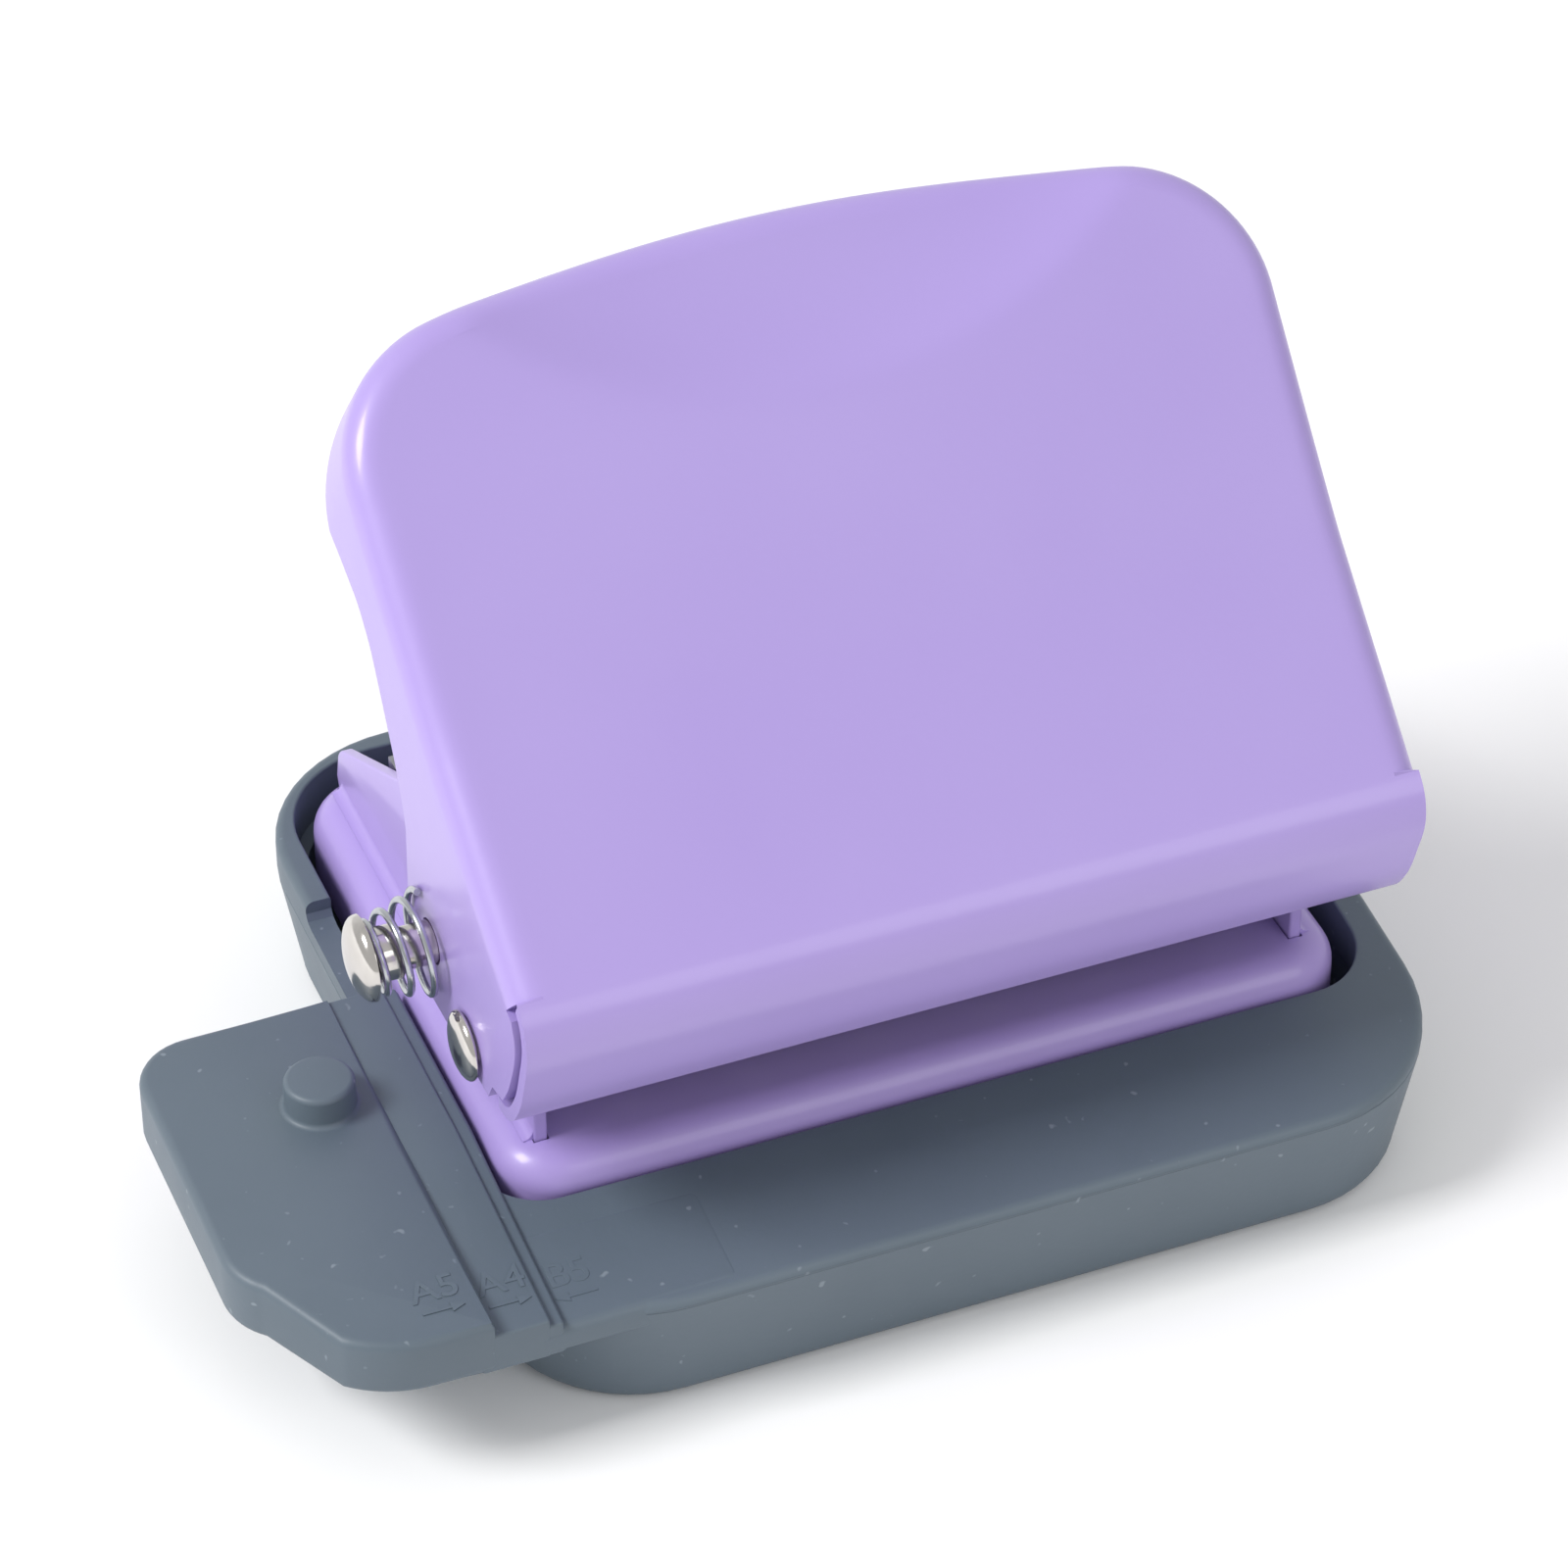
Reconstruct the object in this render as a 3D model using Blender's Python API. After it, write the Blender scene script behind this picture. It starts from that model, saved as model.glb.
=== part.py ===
"""Six-hole desk punch for ring-binder paper, with a chip tray and a paper wing.

Frame: origin on the underside of the chip tray, straight below the middle of the punch row.
+X runs along the punch row, +Y away from the side where paper goes in, +Z up.
Sizes below are in millimetres; new_object turns them into Blender's metres.
"""
import math

import bmesh
import bpy
from mathutils import Vector

MM = 0.001

# Punch row: the pitch is the standard one for multi-ring binders
HOLE_PITCH = 9.5
HOLE_COUNT = 6
FIRST_HOLE_X = -HOLE_PITCH * (HOLE_COUNT - 1) / 2
PUNCH_R = 2.75
GUIDE_HOLE_R = 2.88
DIE_HOLE_R = 2.95
PUNCH_TIP_Z = 16.4
PUNCH_TOP_Z = 24.65

# Chip tray
TRAY_LEFT_X = -36.5
TRAY_RIGHT_X = 37.3
TRAY_FRONT_Y = -25.6
TRAY_REAR_Y = 40.1
TRAY_CORNER_R = 12.4
TRAY_FLOOR = 1.8
SHELF_Z = 9.2
WING_LEFT_X = -54.2
WING_FRONT_Y = -25.1
WING_REAR_Y = 10.7
WING_UNDER_Z = 8.6
DECK_TOP_Z = 14.6
SLOPE_FRONT_Y = -25.0
SLOPE_REAR_Y = -5.6
OPENING_LEFT_X = -33.4
OPENING_RIGHT_X = 34.8
OPENING_FRONT_Y = -13.7
OPENING_REAR_Y = 38.2
OPENING_REAR_R = 8.5
PEG_X = FIRST_HOLE_X - 2 * HOLE_PITCH
# left limit of each paper level, with its height at the front edge and behind the slope
PAPER_LEVELS = (
    (-60.0, 13.2, 14.0),
    (FIRST_HOLE_X - 14.75, 12.0, 13.7),
    (FIRST_HOLE_X - 10.75, 11.45, 13.45),
    (FIRST_HOLE_X - 9.75, 10.9, 13.2),
)

# Pressed steel pan
PAN_HALF_X = 33.0
PAN_FRONT_Y = -13.3
PAN_REAR_Y = 35.2
PAN_TOP_Z = 14.5
PAN_SHEET = 1.2
PAN_BEND_R = 2.7
PAN_CORNER_R = 4.8
PAN_SKIRT_Z = 8.0

# Frame: two ears on a base under the pan
EAR_OUTER_X = 30.1
EAR_SHEET = 1.0
BASE_TOP_Z = 13.1
BASE_SHEET = 1.2
FOOT_FRONT_Y = -10.0
FOOT_REAR_Y = 33.2
EAR_REAR_Y = 33.8
BASE_REAR_Y = 32.6
SLOT_REAR_Y = 33.62
SLOT_GAP = 0.15

# Punch guide, paper stop and their rivets
GUIDE_HALF_X = 28.8
GUIDE_UNDER_Z = 16.0
GUIDE_SHEET = 1.6
GUIDE_FRONT_Y = -5.4
GUIDE_REAR_Y = 24.4
GUIDE_WALL_TOP_Z = 23.5
STOP_FRONT_Y = 4.9
STOP_REAR_Y = 9.3
RIVET_X = 19.0
RIVET_Y = 7.1
RIVET_R = 1.25

# Handle
HINGE_Y = -8.8
HINGE_Z = 24.1
HANDLE_SWING = math.radians(28.0)
HANDLE_SHEET = 1.0
FLAP_X = 34.2
FLAP_FLARE = 0.8
FACE_TILT = math.radians(38.5)
FACE_START_Y = HINGE_Y - 9.6
FACE_START_Z = HINGE_Z + 11.5
CORNER_S = 36.75
CORNER_R = 11.0
ARCH_R = 121.0
FACE_LENGTH = 50.4
HANDLE_BEND_R = 2.2
HANDLE_BEND_STEPS = 3
SIDE_STEPS = 15
CORNER_STEPS = 7
FACE_COLUMNS = 16
CORNER_X = FLAP_X + FLAP_FLARE - CORNER_R
ARCH_MEET = 90 - math.degrees(math.atan2(CORNER_X, CORNER_S - (FACE_LENGTH - ARCH_R)))
BAND_END_X = 33.9
HINGE_PIN_R = 1.75
HINGE_HEAD_R = 2.6

# Thumb recess: everything on the face inside this circle is dished
RECESS_CENTRE_X = 1.0
RECESS_CENTRE_S = 73.3
RECESS_R = 36.9
RECESS_DEPTH = 2.0

# Press plate under the handle
PRESS_HALF_X = 27.0
PRESS_SHEET = 1.2
PRESS_BAR_R = 1.5

# Lock button in the left flap
LOCK_Y = HINGE_Y + 7.2
LOCK_Z = HINGE_Z + 3.8
LOCK_HEAD_R = 3.2
LOCK_RIM_X = -39.2
LOCK_TIP_X = -31.4
LOCK_TIP_R = 1.25
LOCK_HOLE_R = 1.45

ROUND = 24


# ---------------------------------------------------------------- helpers

def clear_scene():
    """Remove whatever the scene holds."""
    for item in list(bpy.data.objects):
        bpy.data.objects.remove(item, do_unlink=True)


def material(name, colour, roughness, metallic):
    """Make a Principled material from a linear colour."""
    made = bpy.data.materials.new(name)
    made.use_nodes = True
    shader = made.node_tree.nodes["Principled BSDF"]
    shader.inputs["Base Color"].default_value = (*colour, 1.0)
    shader.inputs["Roughness"].default_value = roughness
    shader.inputs["Metallic"].default_value = metallic
    return made


def joint_empty(name, x, y, z):
    """An empty on a joint's axis, which its moving pieces are parented to."""
    empty = bpy.data.objects.new(name, None)
    empty.location = Vector((x, y, z)) * MM
    bpy.context.collection.objects.link(empty)
    return empty


def hang_on(item, parent):
    """Parent an object whose mesh is in world coordinates."""
    if parent is None:
        return
    item.parent = parent
    item.location = -Vector(parent.location)


def new_object(name, bm, finish=None, parent=None, closed=True):
    """Turn a mesh in millimetres into a named object in metres."""
    if closed:
        bmesh.ops.recalc_face_normals(bm, faces=bm.faces)
    bmesh.ops.scale(bm, vec=(MM, MM, MM), verts=bm.verts)
    mesh = bpy.data.meshes.new(name)
    bm.to_mesh(mesh)
    bm.free()
    mesh.shade_smooth()
    mesh.set_sharp_from_angle(angle=math.radians(32.0))
    item = bpy.data.objects.new(name, mesh)
    bpy.context.collection.objects.link(item)
    if finish:
        mesh.materials.append(finish)
    hang_on(item, parent)
    return item


def arc(cx, cy, radius, start, end, steps):
    """Points on an arc; angles in degrees."""
    points = []
    for step in range(steps + 1):
        angle = math.radians(start + (end - start) * step / steps)
        points.append((cx + radius * math.cos(angle), cy + radius * math.sin(angle)))
    return points


def rounded_rectangle(left, right, front, rear, radius, steps=6, rear_radius=None):
    """A rectangle's outline in X and Y with four round corners; the rear ones may differ."""
    rear_radius = rear_radius or radius
    return (arc(right - radius, front + radius, radius, -90, 0, steps)
            + arc(right - rear_radius, rear - rear_radius, rear_radius, 0, 90, steps)
            + arc(left + rear_radius, rear - rear_radius, rear_radius, 90, 180, steps)
            + arc(left + radius, front + radius, radius, 180, 270, steps))


def place(axis, u, v, along):
    """A point from two outline coordinates and the distance along an axis."""
    if axis == "X":
        return (along, u, v)
    return (u, v, along)


def loft(loops):
    """A closed mesh through loops of equal length, with its ends filled."""
    bm = bmesh.new()
    rings = [[bm.verts.new(point) for point in loop] for loop in loops]
    count = len(rings[0])
    for low, high in zip(rings, rings[1:]):
        for i in range(count):
            j = (i + 1) % count
            bm.faces.new((low[i], low[j], high[j], high[i]))
    bm.faces.new(rings[0][::-1])
    bm.faces.new(rings[-1])
    return bm


def prism(outline, axis, low, high):
    """An outline drawn out along an axis."""
    return loft([[place(axis, u, v, low) for u, v in outline],
                 [place(axis, u, v, high) for u, v in outline]])


def turned(profile, axis, centre, steps=ROUND):
    """A solid turned from (radius, distance along the axis) points; its ends have radius 0."""
    bm = bmesh.new()
    rings = []
    for radius, along in profile:
        if radius == 0:
            ring = [bm.verts.new(place(axis, centre[0], centre[1], along))]
        else:
            ring = []
            for u, v in arc(centre[0], centre[1], radius, 0, 360, steps)[:-1]:
                ring.append(bm.verts.new(place(axis, u, v, along)))
        rings.append(ring)
    for low, high in zip(rings, rings[1:]):
        for i in range(steps):
            j = (i + 1) % steps
            corners = [low[i % len(low)], low[j % len(low)], high[j % len(high)], high[i % len(high)]]
            bm.faces.new(list(dict.fromkeys(corners)))
    return bm


def cutter(name, bm, target, operation="DIFFERENCE"):
    """Make a hidden tool and add it to a target as an exact Boolean."""
    tool = new_object(name, bm)
    tool.parent = target.parent
    tool.location = target.location
    tool.hide_render = True
    tool.display_type = "WIRE"
    boolean = target.modifiers.new(name, "BOOLEAN")
    boolean.operation = operation
    boolean.solver = "EXACT"
    boolean.object = tool


def round_hole(name, target, radius, axis, centre, low, high):
    """Cut a round hole through a target."""
    cutter(name, turned([(0, low), (radius, low), (radius, high), (0, high)], axis, centre), target)


def hole_xs():
    """X of each hole in the punch row, from the left."""
    return [FIRST_HOLE_X + HOLE_PITCH * i for i in range(HOLE_COUNT)]


def wire_spring(name, axis, centre, ends, radii, turns, wire_r, finish, parent):
    """A cone-shaped coil spring as a bevelled curve."""
    points_per_turn = 12
    curve = bpy.data.curves.new(name, "CURVE")
    curve.dimensions = "3D"
    curve.bevel_depth = wire_r * MM
    curve.bevel_resolution = 1
    curve.use_fill_caps = True
    spline = curve.splines.new("POLY")
    count = round(turns * points_per_turn) + 1
    spline.points.add(count - 1)
    for i in range(count):
        part = i / (count - 1)
        angle = 2 * math.pi * i / points_per_turn
        radius = radii[0] + (radii[1] - radii[0]) * part
        u = centre[0] + radius * math.cos(angle)
        v = centre[1] + radius * math.sin(angle)
        along = ends[0] + (ends[1] - ends[0]) * part
        spline.points[i].co = (*(Vector(place(axis, u, v, along)) * MM), 1.0)
    curve.materials.append(finish)
    item = bpy.data.objects.new(name, curve)
    bpy.context.collection.objects.link(item)
    hang_on(item, parent)
    return item


def open_ring(inner_r, outer_r, mouth, steps=12):
    """Outline of a retaining ring whose mouth, in degrees, faces the first coordinate."""
    half = mouth / 2
    return arc(0, 0, outer_r, half, 360 - half, steps) + arc(0, 0, inner_r, 360 - half, half, steps)


# ---------------------------------------------------------------- chip tray

def tub_loop(z, inset):
    """The tray's outline at one height."""
    outline = rounded_rectangle(TRAY_LEFT_X + inset, TRAY_RIGHT_X - inset, TRAY_FRONT_Y + inset,
                                TRAY_REAR_Y - inset, TRAY_CORNER_R - inset)
    return [(x, y, z) for x, y in outline]


def wing_outline():
    """The paper wing's outline, with a two-stage front corner and a plain round rear one."""
    inside_x = -20.0
    return ([(inside_x, WING_FRONT_Y), (inside_x, WING_REAR_Y)]
            + arc(WING_LEFT_X + 4.5, WING_REAR_Y - 4.5, 4.5, 90, 180, 5)
            + arc(WING_LEFT_X + 5.5, -12.0, 5.5, 180, 228, 3)
            + arc(-43.0, WING_FRONT_Y + 9.0, 9.0, 228, 270, 4))


def level_profile(front_z, rear_z):
    """Everything above one paper level, in Y and Z."""
    above = DECK_TOP_Z + 5
    slope = (rear_z - front_z) / (SLOPE_REAR_Y - SLOPE_FRONT_Y)
    ahead = 4.0
    return [(SLOPE_FRONT_Y - ahead, front_z - slope * ahead), (SLOPE_REAR_Y, rear_z),
            (TRAY_REAR_Y + 5, rear_z), (TRAY_REAR_Y + 5, above), (SLOPE_FRONT_Y - ahead, above)]


def make_chip_tray(plastic):
    """Moulded base: a drafted tub under a stepped deck, with the paper wing on its left."""
    tray = new_object("chip_tray", loft([tub_loop(0.0, 2.7), tub_loop(0.5, 1.9), tub_loop(1.4, 1.45),
                                         tub_loop(10.2, 0.0), tub_loop(DECK_TOP_Z, 0.0)]), plastic)
    cutter("wing_body", prism(wing_outline(), "Z", WING_UNDER_Z, DECK_TOP_Z), tray, "UNION")
    for number, (left_x, front_z, rear_z) in enumerate(PAPER_LEVELS):
        profile = level_profile(front_z, rear_z)
        cutter(f"level_{number}", prism(profile, "X", left_x, TRAY_RIGHT_X + 5), tray)
    above = DECK_TOP_Z + 5
    low_z = PAPER_LEVELS[-1][2]
    behind_wing = [(WING_REAR_Y, low_z), (TRAY_REAR_Y + 5, low_z), (TRAY_REAR_Y + 5, above),
                   (WING_REAR_Y, above)]
    cutter("level_behind_wing", prism(behind_wing, "X", TRAY_LEFT_X - 3, -20.0), tray)
    cutter("cavity", loft([tub_loop(TRAY_FLOOR, 3.6), tub_loop(SHELF_Z, 2.2)]), tray)
    opening = rounded_rectangle(OPENING_LEFT_X, OPENING_RIGHT_X, OPENING_FRONT_Y, OPENING_REAR_Y, 5.0,
                                rear_radius=OPENING_REAR_R)
    cutter("pan_opening", prism(opening, "Z", SHELF_Z - 1.0, above), tray)
    relief = rounded_rectangle(OPENING_LEFT_X - 1.1, 0.0, WING_REAR_Y - 0.5, OPENING_REAR_Y - 0.05, 5.0,
                               rear_radius=OPENING_REAR_R)
    cutter("left_relief", prism(relief, "Z", SHELF_Z - 0.8, above), tray)
    notch = [(WING_REAR_Y + 0.3, 11.5), (21.2, 11.5), (22.4, 12.2), (22.8, above), (WING_REAR_Y + 0.3, above)]
    cutter("wall_notch", prism(notch, "X", TRAY_LEFT_X - 3, -34.0), tray)
    peg = turned([(0, 12.0), (2.6, 12.0), (2.6, 16.0), (2.1, 16.5), (0, 16.5)], "Z", (PEG_X, 0.0), 24)
    cutter("paper_peg", peg, tray, "UNION")
    for side in (-1, 1):
        for rib_y in (PAN_FRONT_Y + 12.0, PAN_REAR_Y - 12.0):
            x = side * (PAN_HALF_X - 1.0)
            rib = rounded_rectangle(x - 1.6, x + 1.6, rib_y - 1.2, rib_y + 1.2, 0.5, 1)
            name = f"pan_rib_{'left' if side < 0 else 'right'}_{'front' if rib_y < 0 else 'rear'}"
            cutter(name, prism(rib, "Z", TRAY_FLOOR - 0.6, PAN_SKIRT_Z - 0.3), tray, "UNION")


# ---------------------------------------------------------------- chassis

def pan_loop(z, inset):
    """The pan's outline at one height."""
    radius = max(PAN_CORNER_R - inset, 0.6)
    outline = rounded_rectangle(-PAN_HALF_X + inset, PAN_HALF_X - inset, PAN_FRONT_Y + inset,
                                PAN_REAR_Y - inset, radius, 5)
    return [(x, y, z) for x, y in outline]


def pan_bend(radius, steps=4):
    """Loops up a skirt and over its bend, for the outer or the inner radius."""
    loops = []
    for step in range(steps + 1):
        angle = math.radians(90 * step / steps)
        inset = PAN_BEND_R - radius * math.cos(angle)
        loops.append(pan_loop(PAN_TOP_Z - PAN_BEND_R + radius * math.sin(angle), inset))
    return loops


def make_chassis_pan(paint, parent):
    """Pressed cover pan: flat top, round bends, a skirt, die holes and two slots for the ears."""
    inner = [pan_loop(PAN_SKIRT_Z, PAN_SHEET)] + pan_bend(PAN_BEND_R - PAN_SHEET)
    outer = [pan_loop(PAN_SKIRT_Z, 0.0)] + pan_bend(PAN_BEND_R)
    pan = new_object("chassis_pan", loft(inner[::-1] + outer), paint, parent)
    for number, x in enumerate(hole_xs(), 1):
        round_hole(f"pan_die_{number}", pan, DIE_HOLE_R, "Z", (x, 0.0), PAN_SKIRT_Z, PAN_TOP_Z + 1)
    for side in (-1, 1):
        edges = sorted((side * (EAR_OUTER_X - EAR_SHEET - SLOT_GAP), side * (EAR_OUTER_X + SLOT_GAP)))
        slot = [(edges[0], FOOT_FRONT_Y - SLOT_GAP), (edges[1], FOOT_FRONT_Y - SLOT_GAP),
                (edges[1], SLOT_REAR_Y), (edges[0], SLOT_REAR_Y)]
        word = "left" if side < 0 else "right"
        cutter(f"ear_slot_{word}", prism(slot, "Z", BASE_TOP_Z - BASE_SHEET - 0.2, PAN_TOP_Z + 1), pan)
        round_hole(f"pan_rivet_hole_{word}", pan, RIVET_R + 0.1, "Z", (side * RIVET_X, RIVET_Y),
                   PAN_SKIRT_Z, PAN_TOP_Z + 1)


def ear_outline(foot_z):
    """One ear in Y and Z: hinge boss at the front, sloping top edge to a low rear corner."""
    boss = arc(HINGE_Y, HINGE_Z, 4.6, 180, 60, 8)
    return ([(FOOT_FRONT_Y, foot_z), (FOOT_FRONT_Y, 19.4)] + boss
            + [(-4.4, 29.2), (0.8, 29.6)] + arc(8.0, 28.9, 2.6, 110, 60, 3)
            + arc(31.0, 16.5, 2.4, 60, 8, 4) + [(EAR_REAR_Y, 15.2), (FOOT_REAR_Y, 13.6), (FOOT_REAR_Y, foot_z)])


def lock_hole_centre():
    """Where the lock pin stands over the ear when the handle is pressed down."""
    y = LOCK_Y - HINGE_Y
    z = LOCK_Z - HINGE_Z
    turn = -HANDLE_SWING
    return (HINGE_Y + y * math.cos(turn) - z * math.sin(turn),
            HINGE_Z + y * math.sin(turn) + z * math.cos(turn))


def make_punch_frame(paint, parent):
    """Folded steel channel: two ears on a base plate that also holds the dies."""
    base_low = BASE_TOP_Z - BASE_SHEET
    base = [(FOOT_FRONT_Y, base_low), (BASE_REAR_Y, base_low), (BASE_REAR_Y, BASE_TOP_Z),
            (FOOT_FRONT_Y, BASE_TOP_Z)]
    frame = new_object("punch_frame", prism(base, "X", -EAR_OUTER_X, EAR_OUTER_X), paint, parent)
    for side in (-1, 1):
        word = "left" if side < 0 else "right"
        edges = sorted((side * (EAR_OUTER_X - EAR_SHEET), side * EAR_OUTER_X))
        cutter(f"ear_{word}", prism(ear_outline(base_low), "X", *edges), frame, "UNION")
    for side in (-1, 1):
        word = "left" if side < 0 else "right"
        edges = sorted((side * (EAR_OUTER_X - 3.0), side * (EAR_OUTER_X + 1.0)))
        round_hole(f"ear_hinge_hole_{word}", frame, HINGE_PIN_R + 0.08, "X", (HINGE_Y, HINGE_Z), *edges)
        round_hole(f"base_rivet_hole_{word}", frame, RIVET_R + 0.1, "Z", (side * RIVET_X, RIVET_Y),
                   base_low - 1, BASE_TOP_Z + 1)
    round_hole("ear_lock_hole", frame, LOCK_HOLE_R, "X", lock_hole_centre(), -EAR_OUTER_X - 1, -27.0)
    notch = (arc(LOCK_Y, LOCK_Z, LOCK_HOLE_R, 180, 360, 8)
             + [(LOCK_Y + LOCK_HOLE_R, LOCK_Z + 4), (LOCK_Y - LOCK_HOLE_R, LOCK_Z + 4)])
    cutter("ear_lock_notch", prism(notch, "X", -EAR_OUTER_X - 1, -27.0), frame)
    for number, x in enumerate(hole_xs(), 1):
        round_hole(f"base_die_{number}", frame, DIE_HOLE_R, "Z", (x, 0.0), base_low - 1, BASE_TOP_Z + 1)


def make_punch_guide(steel, parent):
    """Bent plate that guides the punches just above the paper, with a stiffening rear wall."""
    top = GUIDE_UNDER_Z + GUIDE_SHEET
    bend = 2.4
    outline = ([(GUIDE_FRONT_Y, GUIDE_UNDER_Z)]
               + arc(GUIDE_REAR_Y - bend, GUIDE_UNDER_Z + bend, bend, -90, 0, 4)
               + [(GUIDE_REAR_Y, GUIDE_WALL_TOP_Z), (GUIDE_REAR_Y - GUIDE_SHEET, GUIDE_WALL_TOP_Z)]
               + arc(GUIDE_REAR_Y - bend, GUIDE_UNDER_Z + bend, bend - GUIDE_SHEET, 0, -90, 4)
               + [(GUIDE_FRONT_Y, top)])
    guide = new_object("punch_guide", prism(outline, "X", -GUIDE_HALF_X, GUIDE_HALF_X), steel, parent)
    for number, x in enumerate(hole_xs(), 1):
        round_hole(f"guide_hole_{number}", guide, GUIDE_HOLE_R, "Z", (x, 0.0), 15.0, 19.0)
    for side in (-1, 1):
        word = "left" if side < 0 else "right"
        round_hole(f"guide_rivet_hole_{word}", guide, RIVET_R + 0.1, "Z", (side * RIVET_X, RIVET_Y),
                   15.0, 19.0)


def make_paper_stop(steel, parent):
    """Strip between pan and guide: it sets the paper gap and stops the paper's edge."""
    low = PAN_TOP_Z + 0.1
    high = GUIDE_UNDER_Z - 0.1
    outline = [(STOP_FRONT_Y, low), (STOP_REAR_Y, low), (STOP_REAR_Y, high), (STOP_FRONT_Y, high)]
    stop = new_object("paper_stop", prism(outline, "X", -PRESS_HALF_X, PRESS_HALF_X), steel, parent)
    for side in (-1, 1):
        word = "left" if side < 0 else "right"
        round_hole(f"stop_rivet_hole_{word}", stop, RIVET_R + 0.1, "Z", (side * RIVET_X, RIVET_Y),
                   low - 1, high + 1)


def make_guide_rivets(steel, parent):
    """Two rivets through guide, stop, pan and frame base."""
    top = GUIDE_UNDER_Z + GUIDE_SHEET + 0.1
    low = BASE_TOP_Z - BASE_SHEET - 0.1
    profile = [(0, low - 0.9), (1.5, low - 0.8), (2.1, low - 0.3), (2.1, low), (RIVET_R, low),
               (RIVET_R, top), (2.1, top), (2.1, top + 0.3), (1.5, top + 0.8), (0, top + 0.9)]
    for side in (-1, 1):
        word = "left" if side < 0 else "right"
        new_object(f"guide_rivet_{word}", turned(profile, "Z", (side * RIVET_X, RIVET_Y), 20), steel, parent)


def make_hinge_rivets(nickel, parent):
    """Shouldered rivets fixed in the ears; the handle turns on their outer ends."""
    head = FLAP_X + 0.25
    profile = [(0, 28.0), (2.2, 28.1), (2.2, EAR_OUTER_X - EAR_SHEET - 0.15),
               (HINGE_PIN_R, EAR_OUTER_X - EAR_SHEET - 0.15), (HINGE_PIN_R, EAR_OUTER_X + 0.15),
               (2.4, EAR_OUTER_X + 0.15), (2.4, FLAP_X - HANDLE_SHEET - 0.25),
               (HINGE_PIN_R, FLAP_X - HANDLE_SHEET - 0.25), (HINGE_PIN_R, head),
               (HINGE_HEAD_R, head), (HINGE_HEAD_R - 0.15, head + 0.35), (1.9, head + 0.75),
               (1.0, head + 1.0), (0, head + 1.05)]
    for side in (-1, 1):
        word = "left" if side < 0 else "right"
        sided = [(radius, side * along) for radius, along in profile]
        new_object(f"hinge_rivet_{word}", turned(sided, "X", (HINGE_Y, HINGE_Z)), nickel, parent)


# ---------------------------------------------------------------- punches

def make_punch(number, x, steel, spring_steel, parent):
    """One punch pin with its retaining ring and its return spring."""
    ring_low = 23.5
    ring_high = 24.1
    groove_r = 2.1
    profile = [(0, PUNCH_TIP_Z + 0.7), (PUNCH_R - 0.25, PUNCH_TIP_Z), (PUNCH_R, PUNCH_TIP_Z),
               (PUNCH_R, ring_low - 0.1), (groove_r, ring_low - 0.1), (groove_r, ring_high + 0.1),
               (PUNCH_R, ring_high + 0.1), (PUNCH_R, PUNCH_TOP_Z - 0.2),
               (PUNCH_R - 0.4, PUNCH_TOP_Z), (0, PUNCH_TOP_Z)]
    new_object(f"punch_{number}", turned(profile, "Z", (x, 0.0), 20), steel, parent)
    outline = [(x + u, v) for u, v in open_ring(groove_r + 0.12, 4.1, 70)]
    new_object(f"punch_ring_{number}", prism(outline, "Z", ring_low, ring_high), spring_steel, parent)


# ---------------------------------------------------------------- handle

def face_point(x, s, rise):
    """A point from its place along the tilted face and its height off it."""
    return (x, FACE_START_Y + s * math.cos(FACE_TILT) - rise * math.sin(FACE_TILT),
            FACE_START_Z + s * math.sin(FACE_TILT) + rise * math.cos(FACE_TILT))


def upturn(s):
    """Height of the gently upturned face off its flat lower part."""
    past = max(0.0, s - 17.0)
    return 0.1 * past ** 2 / (past + 4.0)


def face_rise(x, s):
    """Height of the pressed face: the upturn, less the thumb recess."""
    rise = upturn(s)
    inside = RECESS_R - math.hypot(x - RECESS_CENTRE_X, s - RECESS_CENTRE_S)
    if inside > 0:
        rise -= RECESS_DEPTH * min(1.0, inside / 9.0) ** 0.8
    return rise


def side_outline(inset):
    """Right edge of the face as (x, s): its side, then its round top corner."""
    points = []
    for step in range(SIDE_STEPS):
        s = CORNER_S * step / SIDE_STEPS
        points.append((FLAP_X + FLAP_FLARE * s / CORNER_S - inset, s))
    return points + arc(CORNER_X, CORNER_S, CORNER_R - inset, 0, ARCH_MEET, CORNER_STEPS)


def face_edge(inset):
    """The whole edge of the face as (x, s): up the left side, over the arch, down the right."""
    right = side_outline(inset)
    left = [(-x, s) for x, s in right]
    arch = arc(0.0, FACE_LENGTH - ARCH_R, ARCH_R - inset, 180 - ARCH_MEET, ARCH_MEET, FACE_COLUMNS)
    return left + arch[1:-1] + right[::-1]


# how far the flap reaches below the face plane, at places along the side
FLAP_EDGE = ((0.0, 17.1), (5.6, 21.6), (7.9, 22.6), (10.1, 21.5), (13.1, 17.8), (16.2, 13.1), (20.0, 10.6),
             (25.0, 8.3), (28.0, 7.0), (31.0, 6.6), (34.0, 7.2), (CORNER_S, 7.9))
# how far the rolled edge hangs below the face round the corner and the top, by the part of that way done
ROLL_EDGE = ((0.0, 9.5), (0.09, 8.8), (0.3, 7.0), (0.55, 5.4), (1.0, 4.8))


def look_up(table, value):
    """Straight-line reading of a two-column table."""
    for (low, first), (high, second) in zip(table, table[1:]):
        if value <= high:
            return first + (second - first) * (value - low) / (high - low)
    return table[-1][1]


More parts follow.
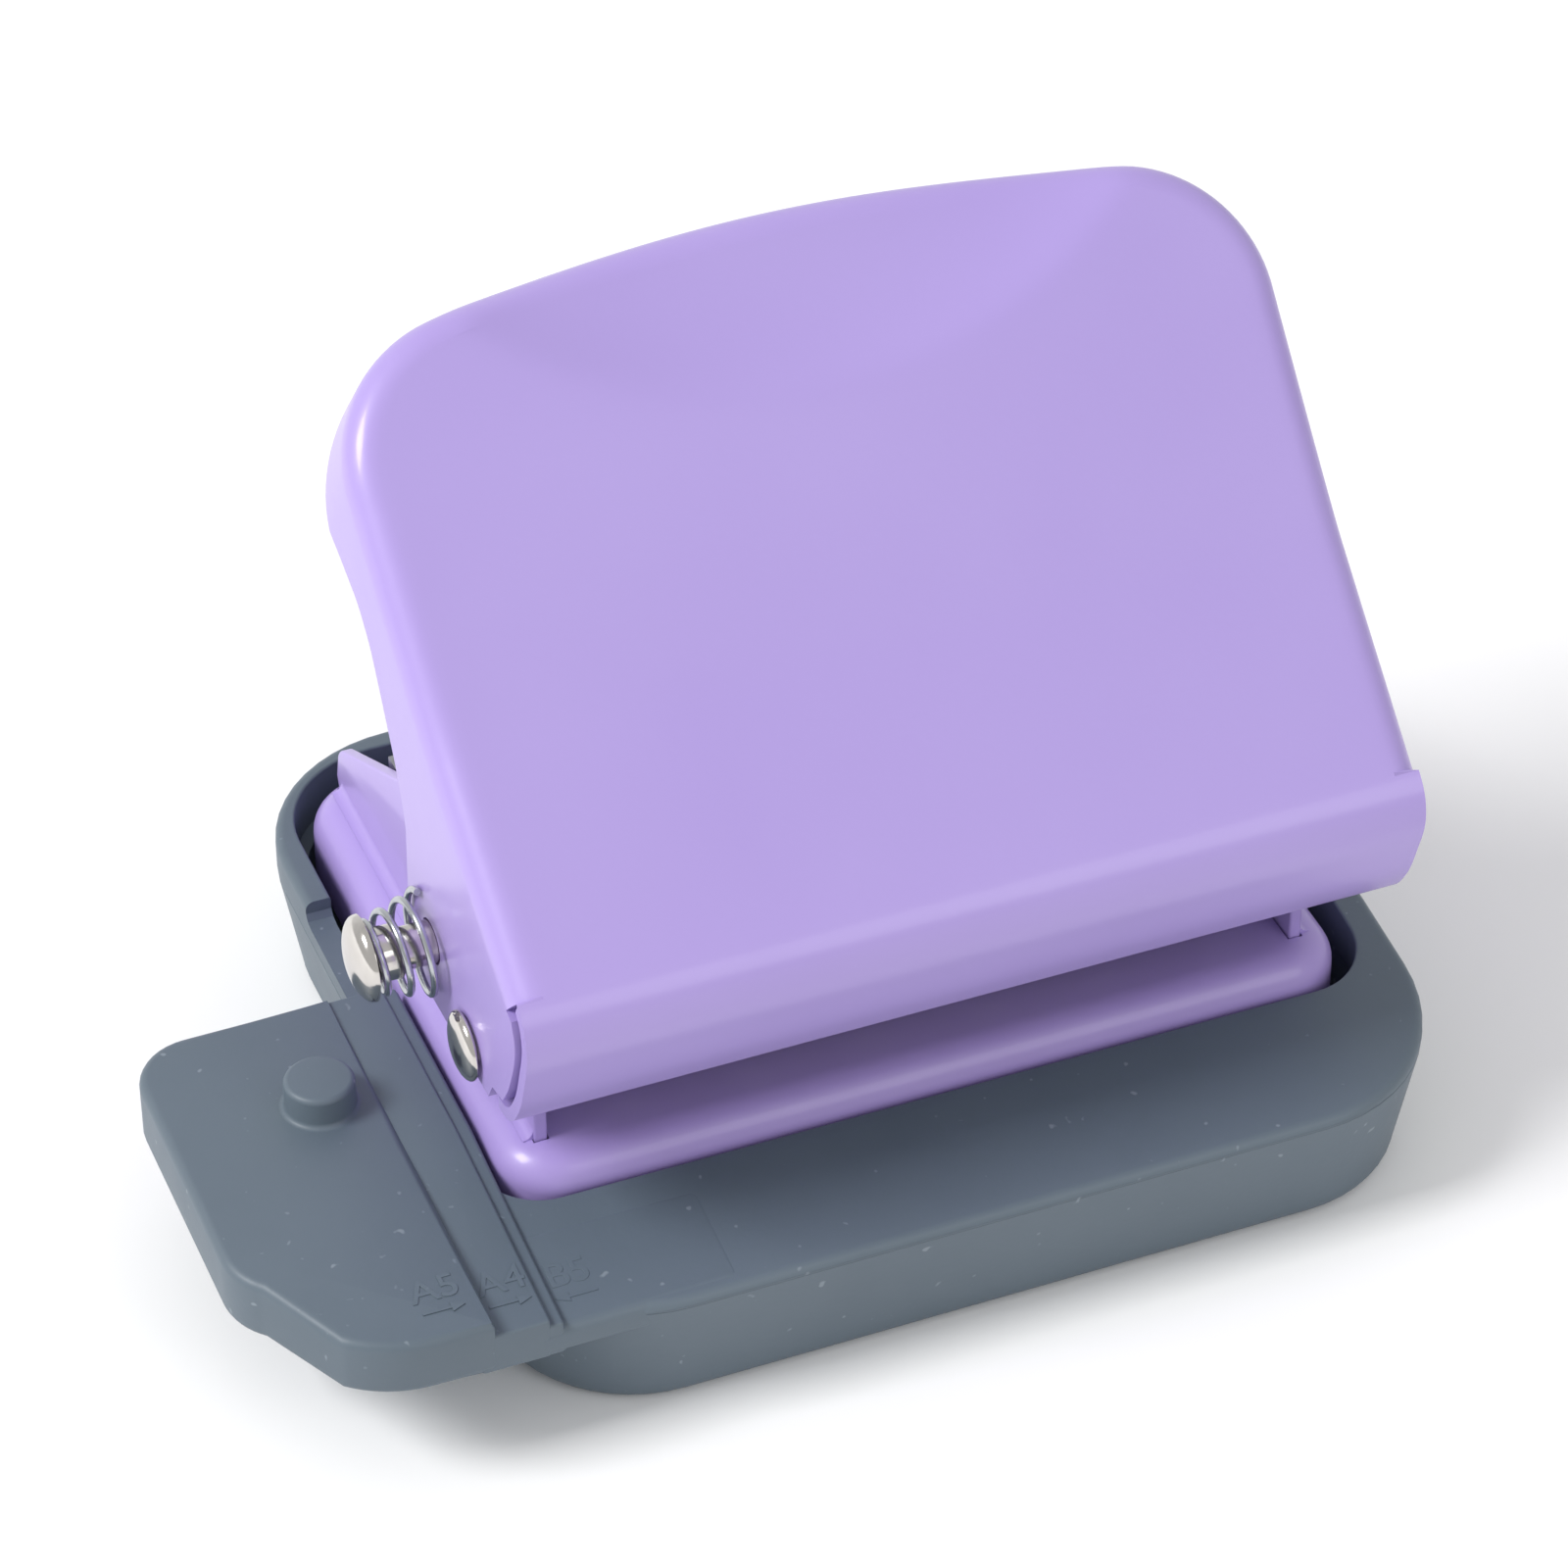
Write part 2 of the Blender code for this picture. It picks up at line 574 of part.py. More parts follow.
# front band from the face down round the curl, as distances from the hinge axis
BAND_PROFILE = ((-10.2, 10.95), (-10.8, 10.2), (-11.2, 9.3), (-11.4, 8.0), (-11.2, 6.6), (-10.7, 5.0),
                (-9.9, 2.6), (-9.1, 1.0), (-8.0, -0.6), (-6.6, -1.6), (-5.0, -1.9))
# front edge of each flap, just inside the curled band
FLAP_FRONT = ((-9.2, 9.5), (-9.8, 7.8), (-9.4, 5.6), (-8.3, 2.9), (-7.5, 1.5), (-6.7, 0.3),
              (-4.6, -0.2), (-3.6, -1.9), (-1.0, -1.9))


def face_grid():
    """Rows of face points; they start straight and take on the arch's curve towards the top."""
    edge = side_outline(HANDLE_BEND_R)
    top_x, top_s = edge[-1]
    rows = []
    for i, (edge_x, edge_s) in enumerate(edge):
        blend = (i / (len(edge) - 1)) ** 2
        row = []
        for column in range(FACE_COLUMNS + 1):
            across = 2 * column / FACE_COLUMNS - 1
            angle = math.radians(90 - (90 - ARCH_MEET) * across)
            arch_x = (ARCH_R - HANDLE_BEND_R) * math.cos(angle)
            arch_s = FACE_LENGTH - ARCH_R + (ARCH_R - HANDLE_BEND_R) * math.sin(angle)
            x = edge_x * arch_x / top_x
            s = edge_s + blend * (arch_s - top_s)
            row.append(face_point(x, s, face_rise(x, s)))
        rows.append(row)
    return rows


def roll_share(index, count):
    """How much of the way round the corner and over the arch an edge point lies, or None on a side."""
    near = min(index, count - 1 - index) - SIDE_STEPS
    if near < 0:
        return None
    if near <= CORNER_STEPS:
        return 0.55 * near / CORNER_STEPS
    return 0.55 + 0.45 * 2 * (near - CORNER_STEPS) / FACE_COLUMNS


def edge_rings():
    """Loops from the face's edge over its bend and down to the free edge of flaps and rolled top."""
    inner = face_edge(HANDLE_BEND_R)
    rises = [face_rise(x, s) for x, s in inner]
    rings = []
    for step in range(1, HANDLE_BEND_STEPS + 1):
        angle = math.radians(90 * step / HANDLE_BEND_STEPS)
        outline = face_edge(HANDLE_BEND_R * (1 - math.sin(angle)))
        drop = HANDLE_BEND_R * (1 - math.cos(angle))
        rings.append([face_point(x, s, rise - drop) for (x, s), rise in zip(outline, rises)])
    lowest = []
    for index, (x, s) in enumerate(face_edge(0.0)):
        share = roll_share(index, len(inner))
        if share is None:
            bottom = -look_up(FLAP_EDGE, s)
        else:
            bottom = upturn(s) - look_up(ROLL_EDGE, share)
        lowest.append(face_point(x, s, bottom))
    return rings + [lowest]


def add_band(bm, above):
    """The curled front band, which runs the full width below the face."""
    ends_above = None
    xs = [vert.co.x for vert in above]
    for dy, dz in BAND_PROFILE:
        y = HINGE_Y + dy
        z = HINGE_Z + dz
        middle = [bm.verts.new((x, y, z)) for x in xs]
        ends = [bm.verts.new((-BAND_END_X, y, z)), bm.verts.new((BAND_END_X, y, z))]
        for i in range(len(xs) - 1):
            bm.faces.new((middle[i], middle[i + 1], above[i + 1], above[i]))
        if ends_above:
            bm.faces.new((ends[0], middle[0], above[0], ends_above[0]))
            bm.faces.new((middle[-1], ends[1], ends_above[1], above[-1]))
        above = middle
        ends_above = ends


def add_flap_front(bm, side, root, lowest):
    """The front of one flap, round the hinge, fanned from the start of its bend."""
    front = [bm.verts.new((side * FLAP_X, HINGE_Y + dy, HINGE_Z + dz)) for dy, dz in FLAP_FRONT]
    for one, two in zip(front, front[1:] + [lowest]):
        bm.faces.new((root, two, one) if side < 0 else (root, one, two))


def make_handle(paint, parent):
    """Pressed steel lever: face, rolled edge, two side flaps and the curled front band."""
    bm = bmesh.new()
    rows = [[bm.verts.new(point) for point in row] for row in face_grid()]
    for low, high in zip(rows, rows[1:]):
        for i in range(FACE_COLUMNS):
            bm.faces.new((low[i], low[i + 1], high[i + 1], high[i]))
    edge = [row[0] for row in rows] + rows[-1][1:-1] + [row[-1] for row in rows[::-1]]
    rings = [[bm.verts.new(point) for point in ring] for ring in edge_rings()]
    for inner, outer in zip([edge] + rings, rings):
        for i in range(len(edge) - 1):
            bm.faces.new((inner[i], inner[i + 1], outer[i + 1], outer[i]))
    add_band(bm, rows[0])
    add_flap_front(bm, -1, rings[-2][0], rings[-1][0])
    add_flap_front(bm, 1, rings[-2][-1], rings[-1][-1])
    handle = new_object("handle", bm, paint, parent, closed=False)
    wall = handle.modifiers.new("sheet", "SOLIDIFY")
    wall.thickness = HANDLE_SHEET * MM
    wall.offset = -1.0
    wall.use_even_offset = True
    for side in (-1, 1):
        word = "left" if side < 0 else "right"
        round_hole(f"handle_hinge_hole_{word}", handle, HINGE_PIN_R + 0.08, "X", (HINGE_Y, HINGE_Z),
                   side * 36.0, side * 32.0)
    round_hole("handle_lock_hole", handle, 1.75, "X", (LOCK_Y, LOCK_Z), -36.0, -32.0)


def make_press_plate(steel, parent):
    """Bent plate welded under the face; its rounded lower edge presses all the punches."""
    bar_s = 8.6
    bar_depth = 18.74
    half = PRESS_SHEET / 2
    top = HANDLE_SHEET + 0.3
    low_rise = top + PRESS_SHEET
    neck = math.degrees(math.asin(half / PRESS_BAR_R))
    bar = arc(bar_s, -bar_depth, PRESS_BAR_R, 90 + neck, 450 - neck, 12)
    outline = ([(bar_s - half, -top)] + bar + [(bar_s + half, -low_rise), (bar_s + 8.0, -low_rise),
                                              (bar_s + 8.0, -top)])
    points = [face_point(0.0, s, rise)[1:] for s, rise in outline]
    new_object("press_plate", prism(points, "X", -PRESS_HALF_X, PRESS_HALF_X), steel, parent)


def make_lock(nickel, spring_steel, parent):
    """Push button that holds the handle down, with its cone spring and retaining ring."""
    rim = LOCK_RIM_X
    profile = [(0, rim - 1.45), (1.2, rim - 1.35), (2.2, rim - 1.0), (2.9, rim - 0.5), (LOCK_HEAD_R, rim - 0.1),
               (LOCK_HEAD_R, rim), (2.0, rim), (2.0, -36.9), (1.6, -36.9), (1.6, -33.15), (1.05, -33.15),
               (1.05, -32.45), (LOCK_TIP_R, -32.45), (LOCK_TIP_R, LOCK_TIP_X - 0.3),
               (LOCK_TIP_R - 0.3, LOCK_TIP_X), (0, LOCK_TIP_X)]
    new_object("lock_button", turned(profile, "X", (LOCK_Y, LOCK_Z), 28), nickel, parent)
    outline = [(LOCK_Y + u, LOCK_Z + v) for u, v in open_ring(1.15, 2.6, 70)]
    new_object("lock_ring", prism(outline, "X", -33.05, -32.55), spring_steel, parent)


def main():
    """Build every piece, each under the empty of the joint that moves it."""
    clear_scene()
    paint = material("lavender_paint", (0.44, 0.33, 0.70), 0.32, 0.0)
    plastic = material("grey_plastic", (0.13, 0.17, 0.20), 0.55, 0.0)
    steel = material("plain_steel", (0.55, 0.56, 0.58), 0.3, 1.0)
    nickel = material("nickel_plate", (0.78, 0.76, 0.74), 0.15, 1.0)
    spring_steel = material("spring_steel", (0.62, 0.62, 0.64), 0.22, 1.0)

    make_chip_tray(plastic)

    chassis = joint_empty("chassis_lift_axis", 0.0, 0.0, PAN_TOP_Z)
    make_chassis_pan(paint, chassis)
    make_punch_frame(paint, chassis)
    make_punch_guide(steel, chassis)
    make_paper_stop(steel, chassis)
    make_guide_rivets(steel, chassis)
    make_hinge_rivets(nickel, chassis)
    for number, x in enumerate(hole_xs(), 1):
        slide = joint_empty(f"punch_axis_{number}", x, 0.0, PUNCH_TIP_Z)
        make_punch(number, x, steel, spring_steel, slide)
        wire_spring(f"punch_spring_{number}", "Z", (x, 0.0), (17.95, 23.15), (3.95, 3.3), 3.25, 0.25,
                    spring_steel, slide)

    hinge = joint_empty("handle_hinge_axis", 0.0, HINGE_Y, HINGE_Z)
    make_handle(paint, hinge)
    make_press_plate(steel, hinge)
    button = joint_empty("lock_axis", LOCK_RIM_X, LOCK_Y, LOCK_Z)
    make_lock(nickel, spring_steel, button)
    wire_spring("lock_spring", "X", (LOCK_Y, LOCK_Z), (-38.85, -34.85), (2.45, 3.9), 3.2, 0.275,
                spring_steel, button)


if __name__ == "__main__":
    main()
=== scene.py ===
"""Six-hole desk punch for ring-binder paper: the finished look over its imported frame.

The file is laid out as an add-on and run as a script. Each operator builds one piece or one
group of like pieces. Sizes are in millimetres in the part's own frame: +X along the punch
row, +Y away from the paper side, +Z up, origin on the tray's underside below the row.
"""
import math

import bmesh
import bpy
from bpy.props import FloatProperty, FloatVectorProperty, PointerProperty
from mathutils import Matrix, Vector


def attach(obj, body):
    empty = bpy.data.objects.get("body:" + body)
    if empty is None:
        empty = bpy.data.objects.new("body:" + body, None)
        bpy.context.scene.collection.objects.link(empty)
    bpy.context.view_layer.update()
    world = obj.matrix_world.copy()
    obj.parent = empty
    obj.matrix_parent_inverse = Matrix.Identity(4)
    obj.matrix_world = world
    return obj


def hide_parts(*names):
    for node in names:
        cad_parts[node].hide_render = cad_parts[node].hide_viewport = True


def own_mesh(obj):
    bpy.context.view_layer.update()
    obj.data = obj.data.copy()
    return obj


bl_info = {
    "name": "Six-Hole Desk Punch",
    "version": (1, 0, 0),
    "blender": (4, 5, 0),
    "location": "3D Viewport > Sidebar > Desk Punch",
    "description": "Builds the pieces of a six-hole desk punch over its packed frame",
    "category": "Object",
}

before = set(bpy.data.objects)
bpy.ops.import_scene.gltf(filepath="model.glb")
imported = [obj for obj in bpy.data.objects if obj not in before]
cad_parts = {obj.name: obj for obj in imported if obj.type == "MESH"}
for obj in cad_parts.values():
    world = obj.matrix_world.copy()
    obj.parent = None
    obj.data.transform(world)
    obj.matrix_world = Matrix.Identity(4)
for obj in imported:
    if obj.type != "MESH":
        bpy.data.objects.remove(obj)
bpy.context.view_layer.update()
MM = 0.001

# Punch row
HOLE_PITCH = 9.5
FIRST_HOLE_X = -HOLE_PITCH * 2.5
HOLE_XS = [FIRST_HOLE_X + HOLE_PITCH * i for i in range(6)]
DIE_HOLE_R = 2.95
RIVET_X = 19.0
RIVET_Y = 7.1
RIVET_HOLE_R = 1.35

# Tray and paper wing
TRAY_LEFT_X = -36.5
TRAY_RIGHT_X = 37.3
TRAY_FRONT_Y = -25.6
TRAY_REAR_Y = 40.1
TRAY_CORNER_R = 12.4
PARTING_Z = 10.15
SHELF_Z = 9.2
FLOOR_Z = 1.8
WING_UNDER_Z = 8.6
WING_FRONT_Y = -25.1
WING_REAR_Y = 10.7
OPENING = (-34.5, 34.8, -13.7, 38.2)
SLOPE_FRONT_Y = -25.0
SLOPE_REAR_Y = -5.6
DECK_LEVEL = (10.9, 13.2)
OPENING_R = 5.0
OPENING_REAR_R = 8.5
TUB_DRAFT = 1.45
TUB_FOOT_R = 1.6
WING_LEFT_X = -54.2
STEP_EDGE = 0.2
SET_BACK = 0.03
# height of each paper level at the front edge and behind the slope, and the X of its paper line
A5_LEVEL = (13.2, 14.0)
A4_LEVEL = (12.0, 13.7)
STRIP_LEVEL = (11.45, 13.45)
A5_LINE_X = FIRST_HOLE_X - 14.75
A4_LINE_X = FIRST_HOLE_X - 10.75
B5_LINE_X = FIRST_HOLE_X - 9.75
PEG_X = FIRST_HOLE_X - 2 * HOLE_PITCH
PEG_TOP_Z = 16.5
# lowered part of the tray's left wall
DIP_FRONT_Y = 11.0
DIP_REAR_Y = 22.4
DIP_Z = 11.5

# Pan and frame
PAN = (-33.0, 33.0, -13.3, 35.2)
PAN_TOP_Z = 14.5
PAN_SKIRT_Z = 8.0
PAN_SHEET = 1.2
PAN_CORNER_R = 4.8
EAR_OUTER_X = 30.1
EAR_SHEET = 1.0
BASE_TOP_Z = 13.1
BASE_LOW_Z = 11.9
FOOT_FRONT_Y = -10.0
FOOT_REAR_Y = 33.2
EAR_REAR_Y = 33.8
BASE_REAR_Y = 32.6
FILLET_R = 0.8

# Handle
HINGE_Y = -8.8
HINGE_Z = 24.1
HANDLE_SWING = math.radians(28.0)
FLAP_X = 34.2
FLAP_FLARE = 0.8
FACE_TILT = math.radians(38.5)
FACE_START_Y = HINGE_Y - 9.6
FACE_START_Z = HINGE_Z + 11.5
CORNER_S = 36.75
CORNER_R = 11.0
ARCH_R = 121.0
FACE_LENGTH = 50.4
SIDE_STEPS = 56
CORNER_STEPS = 20
FACE_COLUMNS = 96
BEND_STEPS = 7
FLAP_ROWS = 8
CORNER_X = FLAP_X + FLAP_FLARE - CORNER_R
ARCH_MEET = 90 - math.degrees(math.atan2(CORNER_X, CORNER_S - (FACE_LENGTH - ARCH_R)))
BAND_END_X = 33.9
HINGE_HOLE_R = 1.83
RECESS_X = 1.0
RECESS_S = 73.3
RECESS_R = 36.9

# Lock button
LOCK_Y = HINGE_Y + 7.2
LOCK_Z = HINGE_Z + 3.8
LOCK_RIM_X = -39.2
LOCK_HOLE_R = 1.45
FLAP_LOCK_HOLE_R = 1.75

# Springs: their free ends, and the faces that they stand on
RETURN_SPRING_Z = (17.95, 23.15)
LOCK_SPRING_X = (-38.85, -34.85)


# ---------------------------------------------------------------- settings

def linear(colour):
    """Linear RGBA from an sRGB hex such as #B9A5E0."""
    channels = [int(colour[i:i + 2], 16) / 255 for i in (1, 3, 5)]
    return tuple(c / 12.92 if c <= 0.04045 else ((c + 0.055) / 1.055) ** 2.4 for c in channels) + (1.0,)


def colour_setting(name, description, colour):
    """A colour that a user may change."""
    return FloatVectorProperty(name=name, description=description, default=linear(colour), size=4,
                               min=0.0, max=1.0, subtype="COLOR")


def length_setting(name, description, size):
    """A length that a user may change, given in millimetres."""
    return FloatProperty(name=name, description=description, default=size * MM, min=0.0,
                         precision=5, unit="LENGTH")


class DeskPunchSizes(bpy.types.PropertyGroup):
    """Sizes that a user may change."""
    handle_sheet: length_setting("Handle sheet", "Thickness of the pressed handle", 1.0)
    handle_bend: length_setting("Handle bend", "Outer radius where the face turns into the flaps", 2.2)
    recess_depth: length_setting("Recess depth", "How deep the thumb recess is pressed in", 2.2)
    pan_bend: length_setting("Pan bend", "Outer radius of the pan's bend", 2.7)
    tray_edge: length_setting("Tray edge", "Rounding of the tray's outer edges", 0.7)
    ear_edge: length_setting("Ear edge", "Rounding of the ears' cut edges under the enamel", 0.2)
    wire: length_setting("Spring wire", "Wire radius of the punch return springs", 0.25)
    lock_wire: length_setting("Lock spring wire", "Wire radius of the lock spring", 0.275)
    mark_relief: length_setting("Mark relief", "How far the paper-size marks stand up", 0.09)


class DeskPunchColours(bpy.types.PropertyGroup):
    """Colours that a user may change."""
    enamel: colour_setting("Enamel", "Lavender stoved enamel", "#AD9AD8")
    enamel_deep: colour_setting("Enamel, deeper", "The same enamel where it lies thicker", "#A691D3")
    plastic: colour_setting("Tray plastic", "Slate moulded ABS", "#56636E")
    plastic_pale: colour_setting("Tray plastic, paler", "The same ABS where it flowed last", "#616E79")
    nickel: colour_setting("Nickel", "Bright nickel plate", "#DAD6D1")
    wire: colour_setting("Spring wire", "Hard-drawn spring steel", "#C3C7CA")
    steel: colour_setting("Steel", "Zinc-passivated mild steel", "#A8AAAE")
    floor: colour_setting("Floor", "Pale studio floor", "#F7F7F8")


def sizes():
    """The size settings."""
    return bpy.context.scene.desk_punch_sizes


def colours():
    """The colour settings."""
    return bpy.context.scene.desk_punch_colours


# ---------------------------------------------------------------- materials

def add_node(tree, kind, settings=None, links=None):
    """Add a node, set its fields or input values, and link (node, output) pairs to its inputs."""
    node = tree.nodes.new(kind)
    for key, value in (settings or {}).items():
        if isinstance(key, int) or key in node.inputs:
            node.inputs[key].default_value = value
        else:
            setattr(node, key, value)
    for key, (source, output) in (links or {}).items():
        tree.links.new(source.outputs[output], node.inputs[key])
    return node


def pattern_scale(size_mm):
    """Texture scale for a pattern whose feature is this many millimetres across."""
    return 1.0 / (size_mm * MM)


def new_finish(name):
    """An empty material, or the one of that name, and whether it is new."""
    found = bpy.data.materials.get(name)
    if found:
        return found, False
    made = bpy.data.materials.new(name)
    made.use_nodes = True
    made.node_tree.nodes.clear()
    return made, True


def close_finish(tree, shader):
    """Send a shader to the output."""
    add_node(tree, "ShaderNodeOutputMaterial", None, {"Surface": (shader, "BSDF")})


def stoved_enamel():
    """Lavender stoved enamel: sprayed on pressed steel and baked, so it has a satin gloss with a
    very fine orange peel, and it lies slightly thicker and deeper in broad soft patches."""
    made, new = new_finish("lavender_stoved_enamel")
    if not new:
        return made
    tree = made.node_tree
    place = add_node(tree, "ShaderNodeTexCoord")
    drift = add_node(tree, "ShaderNodeTexNoise", {"Scale": pattern_scale(22), "Detail": 2.0},
                     {"Vector": (place, "Object")})
    tone = add_node(tree, "ShaderNodeMix", {"data_type": "RGBA", 6: colours().enamel,
                                            7: colours().enamel_deep}, {0: (drift, 0)})
    cloud = add_node(tree, "ShaderNodeTexNoise", {"Scale": pattern_scale(6), "Detail": 3.0},
                     {"Vector": (place, "Object")})
    gloss = add_node(tree, "ShaderNodeMapRange", {"To Min": 0.34, "To Max": 0.44}, {"Value": (cloud, 0)})
    # spray grain of about 0.5 mm, drawn at 0.9 mm so that it shows
    peel = add_node(tree, "ShaderNodeTexNoise", {"Scale": pattern_scale(0.9), "Detail": 2.0},
                    {"Vector": (place, "Object")})
    bump = add_node(tree, "ShaderNodeBump", {"Strength": 0.16, "Distance": 0.00006}, {"Height": (peel, 0)})
    close_finish(tree, add_node(tree, "ShaderNodeBsdfPrincipled",
                                {"IOR": 1.5, "Coat Weight": 0.3, "Coat Roughness": 0.16},
                                {"Base Color": (tone, 2), "Roughness": (gloss, 0), "Normal": (bump, 0)}))
    return made


def moulded_abs():
    """Slate ABS from an eroded mould: a matt silk surface of fine grain, with faint pale flow
    patches and a few dust specks held in the grain."""
    made, new = new_finish("slate_moulded_abs")
    if not new:
        return made
    tree = made.node_tree
    place = add_node(tree, "ShaderNodeTexCoord")
    flow = add_node(tree, "ShaderNodeTexNoise", {"Scale": pattern_scale(16), "Detail": 4.0},
                    {"Vector": (place, "Object")})
    tone = add_node(tree, "ShaderNodeMix", {"data_type": "RGBA", 6: colours().plastic,
                                            7: colours().plastic_pale}, {0: (flow, 0)})
    speck = add_node(tree, "ShaderNodeTexNoise", {"Scale": pattern_scale(1.0), "Detail": 1.0},
                     {"Vector": (place, "Object")})
    dust = add_node(tree, "ShaderNodeMapRange", {"From Min": 0.74, "From Max": 0.8, "To Max": 0.35},
                    {"Value": (speck, 0)})
    dusty = add_node(tree, "ShaderNodeMix", {"data_type": "RGBA", 7: linear("#A9B3BA")},
                     {0: (dust, 0), 6: (tone, 2)})
    patch = add_node(tree, "ShaderNodeTexNoise", {"Scale": pattern_scale(5), "Detail": 3.0},
                     {"Vector": (place, "Object")})
    silk = add_node(tree, "ShaderNodeMapRange", {"To Min": 0.42, "To Max": 0.54}, {"Value": (patch, 0)})
    # erosion grain of about 0.1 mm, drawn at 0.45 mm so that it shows
    grain = add_node(tree, "ShaderNodeTexNoise", {"Scale": pattern_scale(0.45), "Detail": 2.0},
                     {"Vector": (place, "Object")})
    bump = add_node(tree, "ShaderNodeBump", {"Strength": 0.25, "Distance": 0.00005}, {"Height": (grain, 0)})
    close_finish(tree, add_node(tree, "ShaderNodeBsdfPrincipled", {"IOR": 1.53},
                                {"Base Color": (dusty, 2), "Roughness": (silk, 0), "Normal": (bump, 0)}))
    return made


def worked_metal(name, colour, dull, bright, streak_mm, stretch, relief):
    """A bare metal whose polish varies in streaks of the given size and stretch."""
    made, new = new_finish(name)
    if not new:
        return made
    tree = made.node_tree
    place = add_node(tree, "ShaderNodeTexCoord")
    drawn = add_node(tree, "ShaderNodeMapping", {"Scale": stretch}, {"Vector": (place, "Object")})
    streak = add_node(tree, "ShaderNodeTexNoise", {"Scale": pattern_scale(streak_mm), "Detail": 3.0},
                      {"Vector": (drawn, 0)})
    polish = add_node(tree, "ShaderNodeMapRange", {"To Min": bright, "To Max": dull},
                      {"Value": (streak, 0)})
    shade = tuple(c * 0.82 for c in colour[:3]) + (1.0,)
    tone = add_node(tree, "ShaderNodeMix", {"data_type": "RGBA", 6: colour, 7: shade}, {0: (streak, 0)})
    bump = add_node(tree, "ShaderNodeBump", {"Strength": relief, "Distance": 0.00002},
                    {"Height": (streak, 0)})
    close_finish(tree, add_node(tree, "ShaderNodeBsdfPrincipled", {"Metallic": 1.0},
                                {"Base Color": (tone, 2), "Roughness": (polish, 0), "Normal": (bump, 0)}))
    return made


def nickel_plate():
    """Bright nickel plate on turned steel: mirror-like, with faint tool rings round the axis."""
    return worked_metal("bright_nickel_plate", colours().nickel, 0.2, 0.07, 1.4, (3.0, 1.0, 1.0), 0.15)


def drawn_wire():
    """Hard-drawn spring wire: bright, with fine lengthwise drawing marks."""
    return worked_metal("hard_drawn_spring_wire", colours().wire, 0.3, 0.14, 0.5, (1.0, 1.0, 1.0), 0.2)


def passivated_steel():
    """Zinc-passivated pressed steel: grey and satin, with rolling marks along the sheet."""
    return worked_metal("zinc_passivated_steel", colours().steel, 0.46, 0.28, 0.8, (0.15, 1.0, 1.0), 0.3)


# ---------------------------------------------------------------- mesh helpers

def arc(cx, cy, radius, start, end, steps):
    """Points on an arc; angles in degrees."""
    points = []
    for step in range(steps + 1):
        angle = math.radians(start + (end - start) * step / steps)
        points.append((cx + radius * math.cos(angle), cy + radius * math.sin(angle)))
    return points


def stretch_out(start, end, steps):
    """Points strictly between two points."""
    return [(start[0] + (end[0] - start[0]) * i / steps, start[1] + (end[1] - start[1]) * i / steps)
            for i in range(1, steps)]


def rounded_frame(limits, inset, radius, corner_steps=12, x_steps=24, y_steps=40, rear_radius=None):
    """Outline with four round corners and evenly divided straight sides, counter-clockwise."""
    rear_r = max((rear_radius or radius) - inset, 0.3)
    left, right, front, rear = limits
    left, right, front, rear = left + inset, right - inset, front + inset, rear - inset
    radius = max(radius - inset, 0.3)
    corners = [arc(right - radius, front + radius, radius, -90, 0, corner_steps),
               arc(right - rear_r, rear - rear_r, rear_r, 0, 90, corner_steps),
               arc(left + rear_r, rear - rear_r, rear_r, 90, 180, corner_steps),
               arc(left + radius, front + radius, radius, 180, 270, corner_steps)]
    outline = []
    sides = (y_steps, x_steps, y_steps, x_steps)
    for corner, after, steps in zip(corners, corners[1:] + corners[:1], sides):
        outline += corner + stretch_out(corner[-1], after[0], steps)
    return outline


def place_on(axis, u, v, along):
    """A point from two outline coordinates and the distance along an axis."""
    return (along, u, v) if axis == "X" else (u, v, along)


def skin(bm, loops, wrap=True):
    """Join loops of equal length with faces and return their vertices."""
    rings = [[bm.verts.new(point) for point in loop] for loop in loops]
    count = len(rings[0])
    for low, high in zip(rings, rings[1:]):
        for i in range(count if wrap else count - 1):
            j = (i + 1) % count
            bm.faces.new((low[i], low[j], high[j], high[i]))
    return rings


def loft(loops):
    """A closed mesh through loops, with its ends filled."""
    bm = bmesh.new()
    rings = skin(bm, loops)
    bm.faces.new(rings[0][::-1])
    bm.faces.new(rings[-1])
    return bm


def prism(outline, axis, low, high):
    """An outline drawn out along an axis."""
    return loft([[place_on(axis, u, v, low) for u, v in outline],
                 [place_on(axis, u, v, high) for u, v in outline]])


def softened(bm, edge):
    """Round every sharp edge of a prism by a small radius."""
    bm.normal_update()
    sharp = [e for e in bm.edges if len(e.link_faces) == 2 and e.calc_face_angle() > math.radians(50)]
    bmesh.ops.bevel(bm, geom=sharp, offset=edge, segments=3, profile=0.5, affect="EDGES",
                    clamp_overlap=True)
    return bm


def turned(profile, axis, centre, steps=64):
    """A solid turned from (radius, distance along the axis) points; its ends have radius 0."""
    bm = bmesh.new()
    rings = []
    for radius, along in profile:
        if radius == 0:
            rings.append([bm.verts.new(place_on(axis, centre[0], centre[1], along))])
        else:
            ring = arc(centre[0], centre[1], radius, 0, 360, steps)[:-1]
            rings.append([bm.verts.new(place_on(axis, u, v, along)) for u, v in ring])
    for low, high in zip(rings, rings[1:]):
        for i in range(steps):
            j = (i + 1) % steps
            corners = [low[i % len(low)], low[j % len(low)], high[j % len(high)], high[i % len(high)]]
            bm.faces.new(list(dict.fromkeys(corners)))
    return bm


def add_mesh(into, bm):
    """Copy one mesh into another and free it."""
    spare = bpy.data.meshes.new("spare")
    bmesh.ops.recalc_face_normals(bm, faces=bm.faces)
    bm.to_mesh(spare)
    bm.free()
    into.from_mesh(spare)
    bpy.data.meshes.remove(spare)


